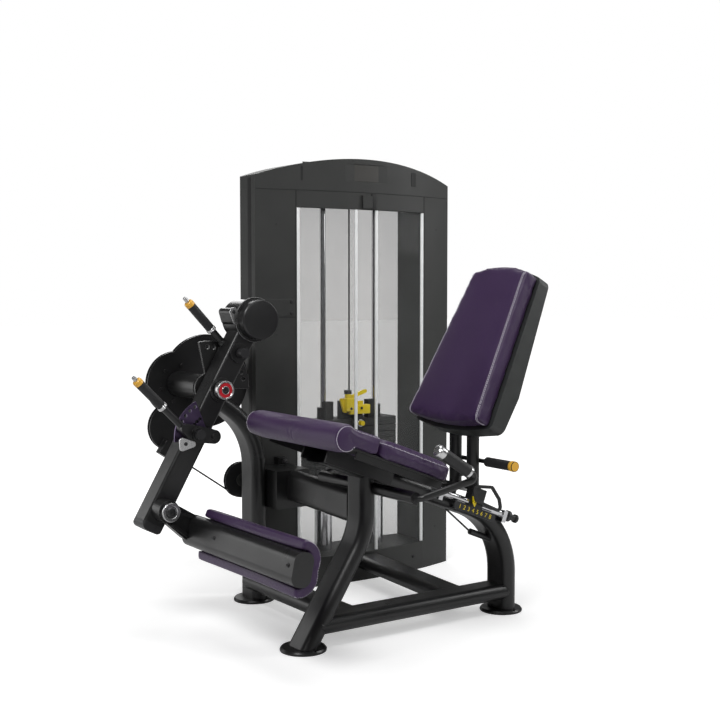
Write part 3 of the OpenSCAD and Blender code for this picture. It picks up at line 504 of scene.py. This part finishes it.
def swell(mesh, voxel, cap, pressure, smooth):
    """Remeshes a pad, rounds its edges and blows it up as cloth, with each point's travel capped."""
    scene = bpy.context.scene
    obj = bpy.data.objects.new("pad_work", mesh)
    scene.collection.objects.link(obj)
    mod = obj.modifiers.new("remesh", "REMESH")
    mod.mode, mod.voxel_size = "VOXEL", voxel
    soft = obj.modifiers.new("round", "SMOOTH")
    soft.factor, soft.iterations = 0.5, smooth
    base = evaluated_mesh(obj)
    bpy.data.objects.remove(obj)
    work = bpy.data.objects.new("pad_cloth", base.copy())
    scene.collection.objects.link(work)
    cloth = work.modifiers.new("cloth", "CLOTH")
    cs = cloth.settings
    cs.quality = 4
    cs.mass = 0.4
    cs.tension_stiffness = cs.compression_stiffness = 18
    cs.shear_stiffness = 8
    cs.bending_stiffness = 0.8
    cs.use_pressure = True
    cs.uniform_pressure_force = pressure
    cs.effector_weights.gravity = 0
    cloth.collision_settings.use_collision = False
    cloth.point_cache.frame_start, cloth.point_cache.frame_end = 1, CLOTH_FRAMES
    for f in range(1, CLOTH_FRAMES + 1):
        scene.frame_set(f)
    grown = evaluated_mesh(work)
    for v, w in zip(base.vertices, grown.vertices):
        d = w.co - v.co
        if d.length > cap:
            d *= cap / d.length
        v.co += d
    bpy.data.objects.remove(work)
    bpy.data.meshes.remove(grown)
    scene.frame_set(1)
    return base


def crown(mesh, matrix, rule):
    """Moves each point by rule(local point) millimetres, in the matrix's own frame."""
    inverse = matrix.inverted()
    for v in mesh.vertices:
        p = inverse @ v.co
        v.co = matrix @ (p + rule(p))


def crease(mesh, lines, depth=0.0022, width=0.0045):
    """Presses sewn channels into a pad along lines of points in the row frame."""
    points = [p for line in lines for p in line]
    tree = KDTree(len(points))
    for k, p in enumerate(points):
        tree.insert(p, k)
    tree.balance()
    normals = [v.normal.copy() for v in mesh.vertices]
    for v, n in zip(mesh.vertices, normals):
        _, _, d = tree.find(v.co)
        if d < width * 2.5:
            v.co -= n * depth * math.exp(-(d / width) ** 2)


def subdivide(mesh):
    """One level of subdivision."""
    obj = bpy.data.objects.new("pad_fine", mesh)
    bpy.context.scene.collection.objects.link(obj)
    mod = obj.modifiers.new("fine", "SUBSURF")
    mod.levels = mod.render_levels = 1
    fine = evaluated_mesh(obj)
    bpy.data.objects.remove(obj)
    return fine


def surface(mesh):
    return BVHTree.FromPolygons([v.co for v in mesh.vertices], [p.vertices for p in mesh.polygons])


def settle(tree, points, lift):
    """Drops points on to a pad's surface, lifted off it by a little."""
    out = []
    for p in points:
        co, normal, _, _ = tree.find_nearest(p)
        out.append((co + normal * lift, normal))
    return out


def resample(points, pitch):
    """Points at an even pitch along a line."""
    out, carry = [points[0].copy()], 0.0
    for a, b in zip(points, points[1:]):
        length = (b - a).length
        t = pitch - carry
        while t <= length and length > 0:
            out.append(a + (b - a) * (t / length))
            t += pitch
        carry = length - (t - pitch)
    return out


STITCH_PITCH, STITCH_LENGTH, THREAD_R = 0.0066, 0.0050, 0.0009


def add_stitches(bm, tree, line):
    """A row of thread stitches lying on a pad's surface."""
    points = settle(tree, resample(line, STITCH_PITCH), THREAD_R * 0.5)
    for (start, normal), (b, _) in zip(points, points[1:]):
        t = (b - start)
        if t.length > STITCH_PITCH * 2.5 or t.length < 1e-6:
            continue
        t.normalize()
        end = start + t * STITCH_LENGTH
        dip = normal * THREAD_R * 1.2
        inset = t * STITCH_LENGTH * 0.2
        middle = (start + end) / 2 + normal * THREAD_R * 0.3
        add_tube(bm, [start - dip, start + inset, middle, end - inset, end - dip], THREAD_R, 5)


def upholster(name, mesh, node, body, lines, stitched):
    """Finishes a pad: channels along its seams, one subdivision and rows of thread."""
    crease(mesh, [resample(line, 0.0025) for line in lines])
    fine = subdivide(mesh)
    obj = piece_from_mesh(name, fine, "vinyl", body, 180)
    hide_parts(node)
    tree = surface(fine)
    bm = bmesh.new()
    for line in stitched:
        add_stitches(bm, tree, line)
    piece(name + "_stitching", bm, "thread", body, 60)


def arc_points(cx, cz, r, a0, a1, steps):
    angles = [math.radians(a0 + (a1 - a0) * i / steps) for i in range(steps + 1)]
    return [(cx + r * math.cos(a), cz + r * math.sin(a)) for a in angles]


def round_rect(w, h, r, steps=6):
    out = []
    for cx, cz, a in ((w / 2 - r, h / 2 - r, 0), (-w / 2 + r, h / 2 - r, 90), (-w / 2 + r, -h / 2 + r, 180),
                      (w / 2 - r, -h / 2 + r, 270)):
        out += arc_points(cx, cz, r, a, a + 90, steps)
    return out


def through(matrix, points):
    return [matrix @ Vector(p) for p in points]


# ---------------------------------------------------------------- cushions


def seat_roll():
    """Roll at the knee edge with its block: a shape swept across the seat."""
    outline = [(78, 2), (78, 49)] + arc_points(-33.5, 15, 37.5, 62, 340, 40)
    mesh = swell(prism(SEAT, outline, -251, 251), 0.0048, 0.0035, 4.0, 3)
    ends = []
    for y in (-250.5, 250.5):
        ring = [(s, y, n) for s, n in arc_points(-33.5, 15, 38.6, 335, 68, 40)]
        ends.append(through(SEAT, ring + [(s, y, 50.6) for s in range(-12, 76, 6)]))
    inner = [through(SEAT, [(-10, y, 38), (70, y, 38)]) for y in (-254, 254)]
    back = through(SEAT, [(76, y, 50) for y in range(-240, 241, 20)])
    upholster("seat_roll_cushion", mesh, "front_cushion", "frame", ends + inner + [back], ends + [back])


def seat_block():
    """Crowned cushion behind the roll, its sides drawn in under a stitched edge."""
    middle = 221
    outline = [(x + middle, y) for x, y in round_rect(271, 502, 22)]
    mesh = swell(prism(SEAT, outline, 2, 42, "XY"), 0.006, 0.008, 4.0, 4)

    def rule(p):
        u, v = (p.x - middle) / 138, p.y / 254
        dome = max(0.0, 1 - abs(u) ** 3) * max(0.0, 1 - abs(v) ** 4)
        return Vector((0, 0, 11 * dome * max(0.0, min(1.0, (p.z - 22) / 20))))

    crown(mesh, SEAT, rule)
    top = [(x + middle, y, 44) for x, y in round_rect(268, 499, 24, 10)]
    low = [(x + middle, y, 12) for x, y in round_rect(278, 510, 26, 10)]
    edge, foot = through(SEAT, top + top[:1]), through(SEAT, low + low[:1])
    upholster("seat_cushion", mesh, "rear_cushion", "frame", [edge, foot], [edge])


def back_cushion():
    """Back pad with an arched head and foot, its face panel stitched down both sides."""
    foot, head, low, high, middle = 182, 138, 5, 562, 283
    outline = [(foot * t / 6, low + 18 * (t / 6) ** 2) for t in range(-6, 7)]
    outline += [(head * t / 6, high - 24 * (t / 6) ** 2) for t in range(6, -7, -1)]
    mesh = swell(prism(BACK, outline, 3, 50, "YZ"), 0.006, 0.005, 4.0, 4)

    def rule(p):
        v, w = p.y / (190 - 44 * p.z / 567), (p.z - middle) / 284
        dome = max(0.0, 1 - abs(v) ** 4) * max(0.0, 1 - abs(w) ** 6)
        return Vector((-5 * dome * max(0.0, min(1.0, (26 - p.x) / 24)), 0, 0))

    crown(mesh, BACK, rule)
    rows = []
    for side in (-1, 1):
        for inset in (13, 17.5):
            y0, y1 = side * (foot - inset), side * (head - inset)
            rows.append(through(BACK, [(42, y0, 17), (14, y0, 14), (0, y0, 24), (-6, y0, 40),
                                       (-6, y1, 522), (0, y1, 538), (14, y1, 548), (42, y1, 546)]))
    rim = [(40, y * 1.04, middle + (z - middle) * 1.02) for y, z in outline]
    seams = rows[0::2] + [through(BACK, rim + rim[:1])]
    upholster("back_cushion", mesh, "back_pad", "back_rest", seams, rows)


def shin_roll():
    """Pad wrapped round the back of the shin tube, open at the front."""
    tube_x, tube_z, thick, gap = 62, 96, 29.5, 2.2

    def turned_from_front(p):
        return math.atan2(p[1], p[0] + 10.5)

    def section(grow, radius, steps, front):
        whole = round_rect(tube_x + 2 * grow, tube_z + 2 * grow, radius, steps)
        return sorted((p for p in whole if p[0] > front), key=turned_from_front)

    inner = [p for p in round_rect(tube_x + 2 * gap, tube_z + 2 * gap, 28.2, 10) if p[0] > -10]
    inner.sort(key=lambda p: -turned_from_front(p))
    mesh = swell(prism(SHIN, section(thick, 55.5, 14, -10) + inner, -253, 316), 0.0045, 0.0028, 3.0, 3)
    line = section(thick + 1.5, 57, 14, -8)
    rings = [through(SHIN, [(x, y, z) for x, z in line]) for y in (-247, 310)]
    upholster("shin_roll_pad", mesh, "shin_pad", "shin_roll", rings, rings)


seat_roll()
seat_block()
back_cushion()
shin_roll()

# ---------------------------------------------------------------- caps and collars


def turned(name, frames, profile, material, body):
    """A closed profile turned round the +Z of one or more frames."""
    bm = bmesh.new()
    for m in frames:
        add_lathe(bm, m, profile, 48)
    piece(name, bm, material, body, 35)


KNEE = along_y(WORLD, 0, 361, KNEE_Z, True)


def pivot_caps():
    """Bright rims and dark centres of the caps on the knee shaft and the shin pin."""
    bm = bmesh.new()
    add_ring(bm, KNEE, [(23.6, -3.5), (29.6, -3.5), (29.6, 1.2), (28, 2.4), (25.2, 2.4), (23.6, 1.0)])
    add_ring(bm, KNEE, [(10.6, -0.5), (13.2, -0.5), (13.2, 1.2), (12.6, 1.8), (11.4, 1.8), (10.6, 1.2)])
    piece("knee_cap_rims", bm, "silver", "lever_arm", 35)
    hub = [(0, -0.5), (10.4, -0.5), (10.4, 2.2), (9, 3.2), (4.2, 3.2), (3.8, 1.2), (0, 1.2)]
    turned("knee_cap_hub", [KNEE], hub, "black", "lever_arm")
    pin = along_y(ARM, 0, 326, -412, True)
    centre = [(0, -0.5), (13, -0.5), (13, 1.4), (11.5, 2.4), (5, 2.4), (4.5, 0.8), (0, 0.8)]
    turned("shin_pin_centre", [pin], centre, "black", "lever_arm")
    bm = bmesh.new()
    rim = [(19, -1), (28.6, -1), (28.6, -5), (29.4, -5), (29.4, 0.4), (28, 1.6), (20, 1.6), (19, 0.8)]
    add_ring(bm, pin, rim)
    piece("shin_pin_rim", bm, "silver", "lever_arm", 35)


pivot_caps()

# ---------------------------------------------------------------- seat position scale


def seat_scale():
    """Raised figures 1 to 8 along the plate beside the rail."""
    plate_from, plate_to = Vector((562, -92, 389)), Vector((706, -92, 333.7))
    size, depth, count, margin = 19, 0.57, 8, 0.075
    ex, ez = (plate_to - plate_from).normalized(), Vector((0, -1, 0))
    basis = Matrix((ex, ez.cross(ex), ez)).transposed().to_4x4()
    bm = bmesh.new()
    for i in range(count):
        spot = plate_from + (plate_to - plate_from) * (margin + (1 - 2 * margin) * i / (count - 1))
        matrix = WORLD @ Matrix.Translation(spot) @ basis
        curve = bpy.data.curves.new("figure", "FONT")
        curve.body = str(i + 1)
        curve.size = size
        curve.extrude = depth
        curve.align_x, curve.align_y = "CENTER", "CENTER"
        obj = bpy.data.objects.new("figure", curve)
        bpy.context.scene.collection.objects.link(obj)
        mesh = evaluated_mesh(obj)
        bpy.data.objects.remove(obj)
        start = len(bm.verts)
        bm.from_mesh(mesh)
        bm.verts.ensure_lookup_table()
        for v in bm.verts[start:]:
            v.co = matrix @ v.co
        bpy.data.meshes.remove(mesh)
    piece("seat_scale_figures", bm, "yellow", "frame")


seat_scale()

# ---------------------------------------------------------------- tower trim

TOWER_X, TOWER_HALF = 696, 423
FRONT_R, FRONT_Y = 1400, 585


def front(x, out=0):
    """Y of the tower's curved front at x, moved out towards the user."""
    return FRONT_Y + FRONT_R - math.sqrt(FRONT_R ** 2 - (x - TOWER_X) ** 2) - out


def front_strip(bm, x0, x1, z0, z1, out, depth=3.0, steps=8):
    """A curved plate on the tower's front, sunk into it where out is below 0, with eased outer edges."""
    xs = [x0 + (x1 - x0) * i / steps for i in range(steps + 1)]
    ease = min(0.6, abs(out) / 2)
    outline = [(z0, -depth), (z0, out - ease), (z0 + ease, out),
               (z1 - ease, out), (z1, out - ease), (z1, -depth)]
    rows = [[bm.verts.new(at(x, front(x, o), z)) for z, o in outline] for x in xs]
    for a, b in zip(rows, rows[1:]):
        for i in range(len(outline)):
            j = (i + 1) % len(outline)
            bm.faces.new((a[i], a[j], b[j], b[i]))
    bm.faces.new(rows[0][::-1])
    bm.faces.new(rows[-1])


def tower_trim():
    """Seams, cover plates, placard, screws and the shields' edges on the tower's front, a dark block painted as the
    shade on the lamp box's right side, and its side bands, dark strips painted as the shade on the tower's rounded
    sides.
    """
    bm = bmesh.new()
    for x in (413.4, 974.2):
        front_strip(bm, x, x + 4.2, 104, 1399, 0.6, steps=1)
    front_strip(bm, 276, 1116, 1398.8, 1401.2, 0.8, steps=40)
    front_strip(bm, 288, 414, 957, 959.4, 0.5)
    front_strip(bm, 434, 440.5, 1434, 1484, 1.2, steps=1)
    front_strip(bm, 906, 930, 1434, 1484, 1.2, steps=2)
    # Dark block on the lamp box's right side: painted shade.
    add_block(bm, WORLD, (715, FRONT_Y - 2.5, 1341), (736, FRONT_Y + 10, 1398), 0.3)
    add_block(bm, WORLD, (674, FRONT_Y - 6.6, 1343), (676.4, FRONT_Y + 4, 1389), 0.2)
    piece("tower_seams_and_shade", bm, "tower_dark", "frame")
    bm = bmesh.new()
    front_strip(bm, 290, 410, 963, 1022, 1.6)
    front_strip(bm, 290, 410, 40, 64, 0.9)
    piece("column_cover", bm, "tower", "frame")
    bm = bmesh.new()
    front_strip(bm, 442, 905, 1438, 1498, -2.0, 5.0, steps=24)
    piece("placard", bm, "tower_panel", "frame")
    bm = bmesh.new()
    for x, z in ((302, 1012), (398, 1012), (302, 973), (398, 973), (470, 52), (922, 52), (696, 52)):
        add_screw(bm, along_y(WORLD, x, front(x, 1.4), z, True), 5.5, 3.2)
    for x in (TOWER_X - 350, TOWER_X + 350):
        for z in (150, 520, 900, 1280):
            add_screw(bm, along_y(WORLD, x, front(x, -0.2), z, True), 3.2, 1.2)
    piece("tower_screws", bm, "black", "frame")
    bm = bmesh.new()
    for x0, x1 in ((418, 430), (646, 656.4), (735.6, 746), (962, 973.5)):
        y = front((x0 + x1) / 2) + 1.0
        add_block(bm, WORLD, (x0, y, 105), (x1, y + 6.2, 1339), 0.8)
    piece("shield_edges", bm, "edge", "frame")
    # Dark strips on the tower's sides just behind the front corners: painted shade on the rounded sides.
    bm = bmesh.new()
    for side in (-1, 1):
        x = TOWER_X + side * TOWER_HALF
        a, b = sorted((x + side * 0.5, x - side * 2))
        add_block(bm, WORLD, (a, 676, 0.5), (b, 700, 1440), 0.4)
    piece("tower_side_shade_bands", bm, "tower_dark", "frame")


tower_trim()

# ---------------------------------------------------------------- arm, levers and stack

DRUM_Z = 251


def arm_details():
    """The strap's lug and the face of the arm's drum."""
    bm = bmesh.new()
    add_plate(bm, ARM, link_outline([(-80, 235, 14), (-58, 215, 12)]), 391, 395.5)
    piece("strap_lug", bm, "silver", "lever_arm")
    bm = bmesh.new()
    add_lathe(bm, along_y(ARM, -80, 391.2, 235, True), [(0, -1), (6, -1), (6, 0.6), (5, 0.9), (0, 0.9)])
    piece("strap_lug_hole", bm, "black", "lever_arm")
    bm = bmesh.new()
    face = [(0, -1), (61.5, -1), (61.5, 0.5), (60.5, 1.1), (58, 1.5), (0, 2.6)]
    add_lathe(bm, along_y(ARM, 0, 352, DRUM_Z, True), face, 72)
    piece("drum_face", bm, "arm", "lever_arm")


arm_details()


def bolts():
    """Screws on the shin tube, and bolts with washers on the beam's socket."""
    bm = bmesh.new()
    for y in (186, -233):
        add_screw(bm, leaning(SHIN, (-31, y, 6), -90), 6.5, 3.4)
    piece("shin_tube_screws", bm, "black", "shin_roll")
    bm = bmesh.new()
    for z in (311, 461):
        add_screw(bm, along_y(WORLD, 352, 584, z, True), 7.5, 5)
        add_ring(bm, along_y(WORLD, 352, 586, z, True), [(4.5, -0.5), (10.5, -0.5), (10.5, 1.4), (4.5, 1.4)])
    piece("socket_bolts", bm, "black", "frame")


bolts()

START = leaning(ARM, (-36, 455, 145), -72.7)
PAD_LEVER = leaning(ARM, (-64, 370, -167), -75)


def shifted(matrix, distance):
    """The same frame moved along its +Z."""
    return matrix @ Matrix.Translation((0, 0, distance))


def lever_trim():
    """Bright collars at the grips' roots, the levers' push tips and the back lever's amber cap and sleeve."""
    collar = [(12.5, 0), (15.4, 0), (15.9, 0.8), (15.9, 4), (15.2, 4.8), (15.9, 5.6), (15.9, 9.6), (15.2, 10.4),
              (12.5, 10.4)]
    for name, matrix, body in (("start_collar", shifted(START, 54.8), "lever_arm"),
                               ("pad_collar", shifted(PAD_LEVER, 97.8), "pad_lever")):
        bm = bmesh.new()
        add_ring(bm, matrix, collar)
        piece(name, bm, "silver", body, 35)
    tip = [(0, -4), (6.6, -4), (6.6, 12), (5.2, 14.2), (0, 14.2)]
    turned("pad_lever_tip", [shifted(PAD_LEVER, 222)], tip, "steel", "pad_lever")
    tip = [(0, -2), (6.5, -2), (6.5, 13.4), (5, 15.4), (0, 15.4)]
    turned("start_lever_tip", [shifted(START, 182)], tip, "steel", "start_push")
    grip_end = (697, -190, 511)
    cap = [(0, -0.4), (16.3, -0.4), (16.6, 0.6), (16.6, 12.5), (14.2, 16.4), (0, 16.4)]
    turned("back_lever_cap", [along_y(WORLD, *grip_end, True)], cap, "amber", "latch")
    sleeve = [(0, -0.3), (15.4, -0.3), (15.4, 114), (13, 115.5), (0, 115.5)]
    turned("back_lever_grip", [along_y(WORLD, *grip_end)], sleeve, "grip", "latch")


def rail_ends():
    """Rubber bumper and end knob of each rail."""
    profile = [(11.6, 149.5), (17, 149.5), (17.6, 150.2), (17.6, 155.4), (16.6, 156), (17.6, 156.6), (17.6, 161.8),
               (17, 162.6), (9.8, 163), (9.8, 187.4), (13.4, 187.4), (13.6, 188), (13.6, 196), (12.8, 196.8),
               (5, 196.8), (4.6, 194), (0, 194)]
    rails = [leaning(WORLD, (640, y, 384), 111) for y in (-72, 72)]
    turned("rail_bumpers", rails, profile, "black", "frame")


def arm_trim():
    """The strap's edge on the drum, the knee cap's red band and the pad lever's lock plate."""
    bm = bmesh.new()
    edge = [(64.3, 0), (71, 0), (71.8, 0.8), (71.8, 3.4), (71, 4.2), (64.3, 4.2)]
    add_ring(bm, along_y(ARM, 0, 395.4, DRUM_Z, True), edge, 72)
    piece("strap_edge", bm, "sector_black", "lever_arm")
    bm = bmesh.new()
    add_lathe(bm, KNEE, [(13.3, -0.5), (13.3, 0.5), (23.5, 0.5), (23.5, -0.5)], 64)
    piece("knee_cap_band", bm, "red", "lever_arm")
    bm = bmesh.new()
    add_plate(bm, ARM, link_outline([(-64, -204, 9), (-26, -198, 9), (-52, -224, 9)]), 346, 351.8)
    piece("pad_lock_plate", bm, "silver", "pad_lever")
    bm = bmesh.new()
    add_screw(bm, along_y(ARM, -49, 346, -208, True), 6, 3)
    piece("pad_lock_bolt", bm, "black", "pad_lever")


def stack_trim():
    """The stack's lobed knob and the blocks of its flip weights."""
    x, y, z = 703, 636, 568
    outline = []
    for a in (2 * math.pi * i / 100 for i in range(100)):
        r = 27.5 + 2.2 * math.cos(10 * a)
        outline.append((r * math.cos(a) + x, r * math.sin(a) + z))
    bm = bmesh.new()
    add_plate(bm, WORLD, outline, y - 1.5, y + 17, 1.6)
    piece("stack_knob", bm, "black", "stack")
    bm = bmesh.new()
    ring = [(9.4, -1), (14, -1), (14, 1.6), (13, 2.6), (10.4, 2.6), (9.4, 1.6)]
    add_ring(bm, along_y(WORLD, x, y - 1, z, True), ring)
    piece("stack_knob_ring", bm, "silver", "stack")
    bm = bmesh.new()
    add_block(bm, WORLD, (646, 640, 612), (690, 667, 660), 3, 3)
    add_block(bm, WORLD, (664, 642, 600), (752, 666, 634), 3, 3)
    add_block(bm, WORLD, (650, 644, 655), (668, 662, 676), 2, 2)
    add_block(bm, WORLD, (700, 644, 630), (722, 662, 648), 2, 2)
    piece("flip_weights", bm, "yellow", "flip_lever")
    bm = bmesh.new()
    add_block(bm, WORLD, (648, 643, 675), (670, 663, 690), 2, 2)
    for px in (666, 712):
        add_screw(bm, along_y(WORLD, px, 640, 622, True), 5, 2)
    piece("flip_weight_tips", bm, "black", "flip_lever")


def scale_pointer():
    """The back rest's pointer over the seat scale."""
    bm = bmesh.new()
    add_plate(bm, WORLD, link_outline([(629, 378, 1), (625.5, 389, 2.6), (634, 390.5, 2.6)], 4), -96, -93)
    add_block(bm, WORLD, (627.5, -96, 388), (632, -86, 410), 0.8)
    piece("scale_pointer", bm, "yellow", "back_rest")


lever_trim()
rail_ends()
arm_trim()
stack_trim()
scale_pointer()

# ---------------------------------------------------------------- floor, lights and camera

FLOOR_HALF = 30
GLOW_NEAR, GLOW_FAR = 0.42, 1.0

floor_mesh = bpy.data.meshes.new("floor")
fb = bmesh.new()
bmesh.ops.create_grid(fb, x_segments=1, y_segments=1, size=FLOOR_HALF)
fb.to_mesh(floor_mesh)
fb.free()
floor = bpy.data.objects.new("floor", floor_mesh)
floor.location = (0, 0, at(0, 0, 0).z)
scene = bpy.context.scene
scene.collection.objects.link(floor)
ground = Shader("floor", Roughness=0.9, Specular_IOR_Level=0.1)
ground.link(ground.mix(ground.noise(3, 3), (0.84, 0.84, 0.84), (0.88, 0.88, 0.88)), "Base Color")
ground.bsdf.inputs["Emission Color"].default_value = (1, 1, 1, 1)
reach = ground.node("ShaderNodeVectorMath", {0: ground.coord}, operation="LENGTH").outputs["Value"]
seen = ground.node("ShaderNodeLightPath").outputs["Is Camera Ray"]
glow = ground.remap(reach, GLOW_NEAR, GLOW_FAR, 1.0, 4.5)
ground.link(ground.math("MULTIPLY", glow, seen), "Emission Strength")
floor_mesh.materials.append(ground.done())

AMBIENT, BACKDROP = 0.11, 1.0

world = bpy.data.worlds.new("studio")
world.use_nodes = True
scene.world = world
tree = world.node_tree
back = tree.nodes["Background"]
back.inputs["Color"].default_value = (1, 1, 1, 1)
path = tree.nodes.new("ShaderNodeLightPath")
level = tree.nodes.new("ShaderNodeMapRange")
level.inputs["To Min"].default_value = AMBIENT
level.inputs["To Max"].default_value = BACKDROP
tree.links.new(path.outputs["Is Camera Ray"], level.inputs["Value"])
tree.links.new(level.outputs["Result"], back.inputs["Strength"])


def area(name, where, target, size, power):
    """A rectangular light at a place in metres, aimed at a target."""
    light = bpy.data.lights.new(name, "AREA")
    light.shape = "RECTANGLE"
    light.size, light.size_y = size
    light.energy = power
    obj = bpy.data.objects.new(name, light)
    obj.location = where
    obj.rotation_euler = (Vector(target) - Vector(where)).to_track_quat("-Z", "Y").to_euler()
    scene.collection.objects.link(obj)


area("key", (-2.6, -1.6, 3.4), (0.1, 0.0, 0.7), (1.8, 1.2), 75)
area("front", (0.6, -4.2, 2.6), (0.2, 0, 0.6), (2.6, 1.2), 26)
area("right", (3.4, -1.6, 2.4), (0.4, 0.2, 0.8), (1.0, 2.4), 42)
area("top", (0.3, 0.3, 4.0), (0.3, 0.2, 0.0), (2.4, 2.4), 50)
area("rim", (-2.3, 2.7, 0.9), (-0.4, 0.1, 0.5), (1.6, 1.5), 12)
area("behind", (1.6, 3.6, 2.4), (0.3, 0.0, 0.8), (2.4, 1.6), 40)

EYE = (-1757, -2905, 1055)
PITCH, YAW, LENS = 86.596, -34.766, 59.28

camera = bpy.data.cameras.new("camera")
camera.lens, camera.sensor_width = LENS, 36
eye = bpy.data.objects.new("camera", camera)
eye.location = at(*EYE)
eye.rotation_euler = (math.radians(PITCH), 0, math.radians(YAW))
scene.collection.objects.link(eye)
scene.camera = eye
scene.view_settings.view_transform = "Standard"
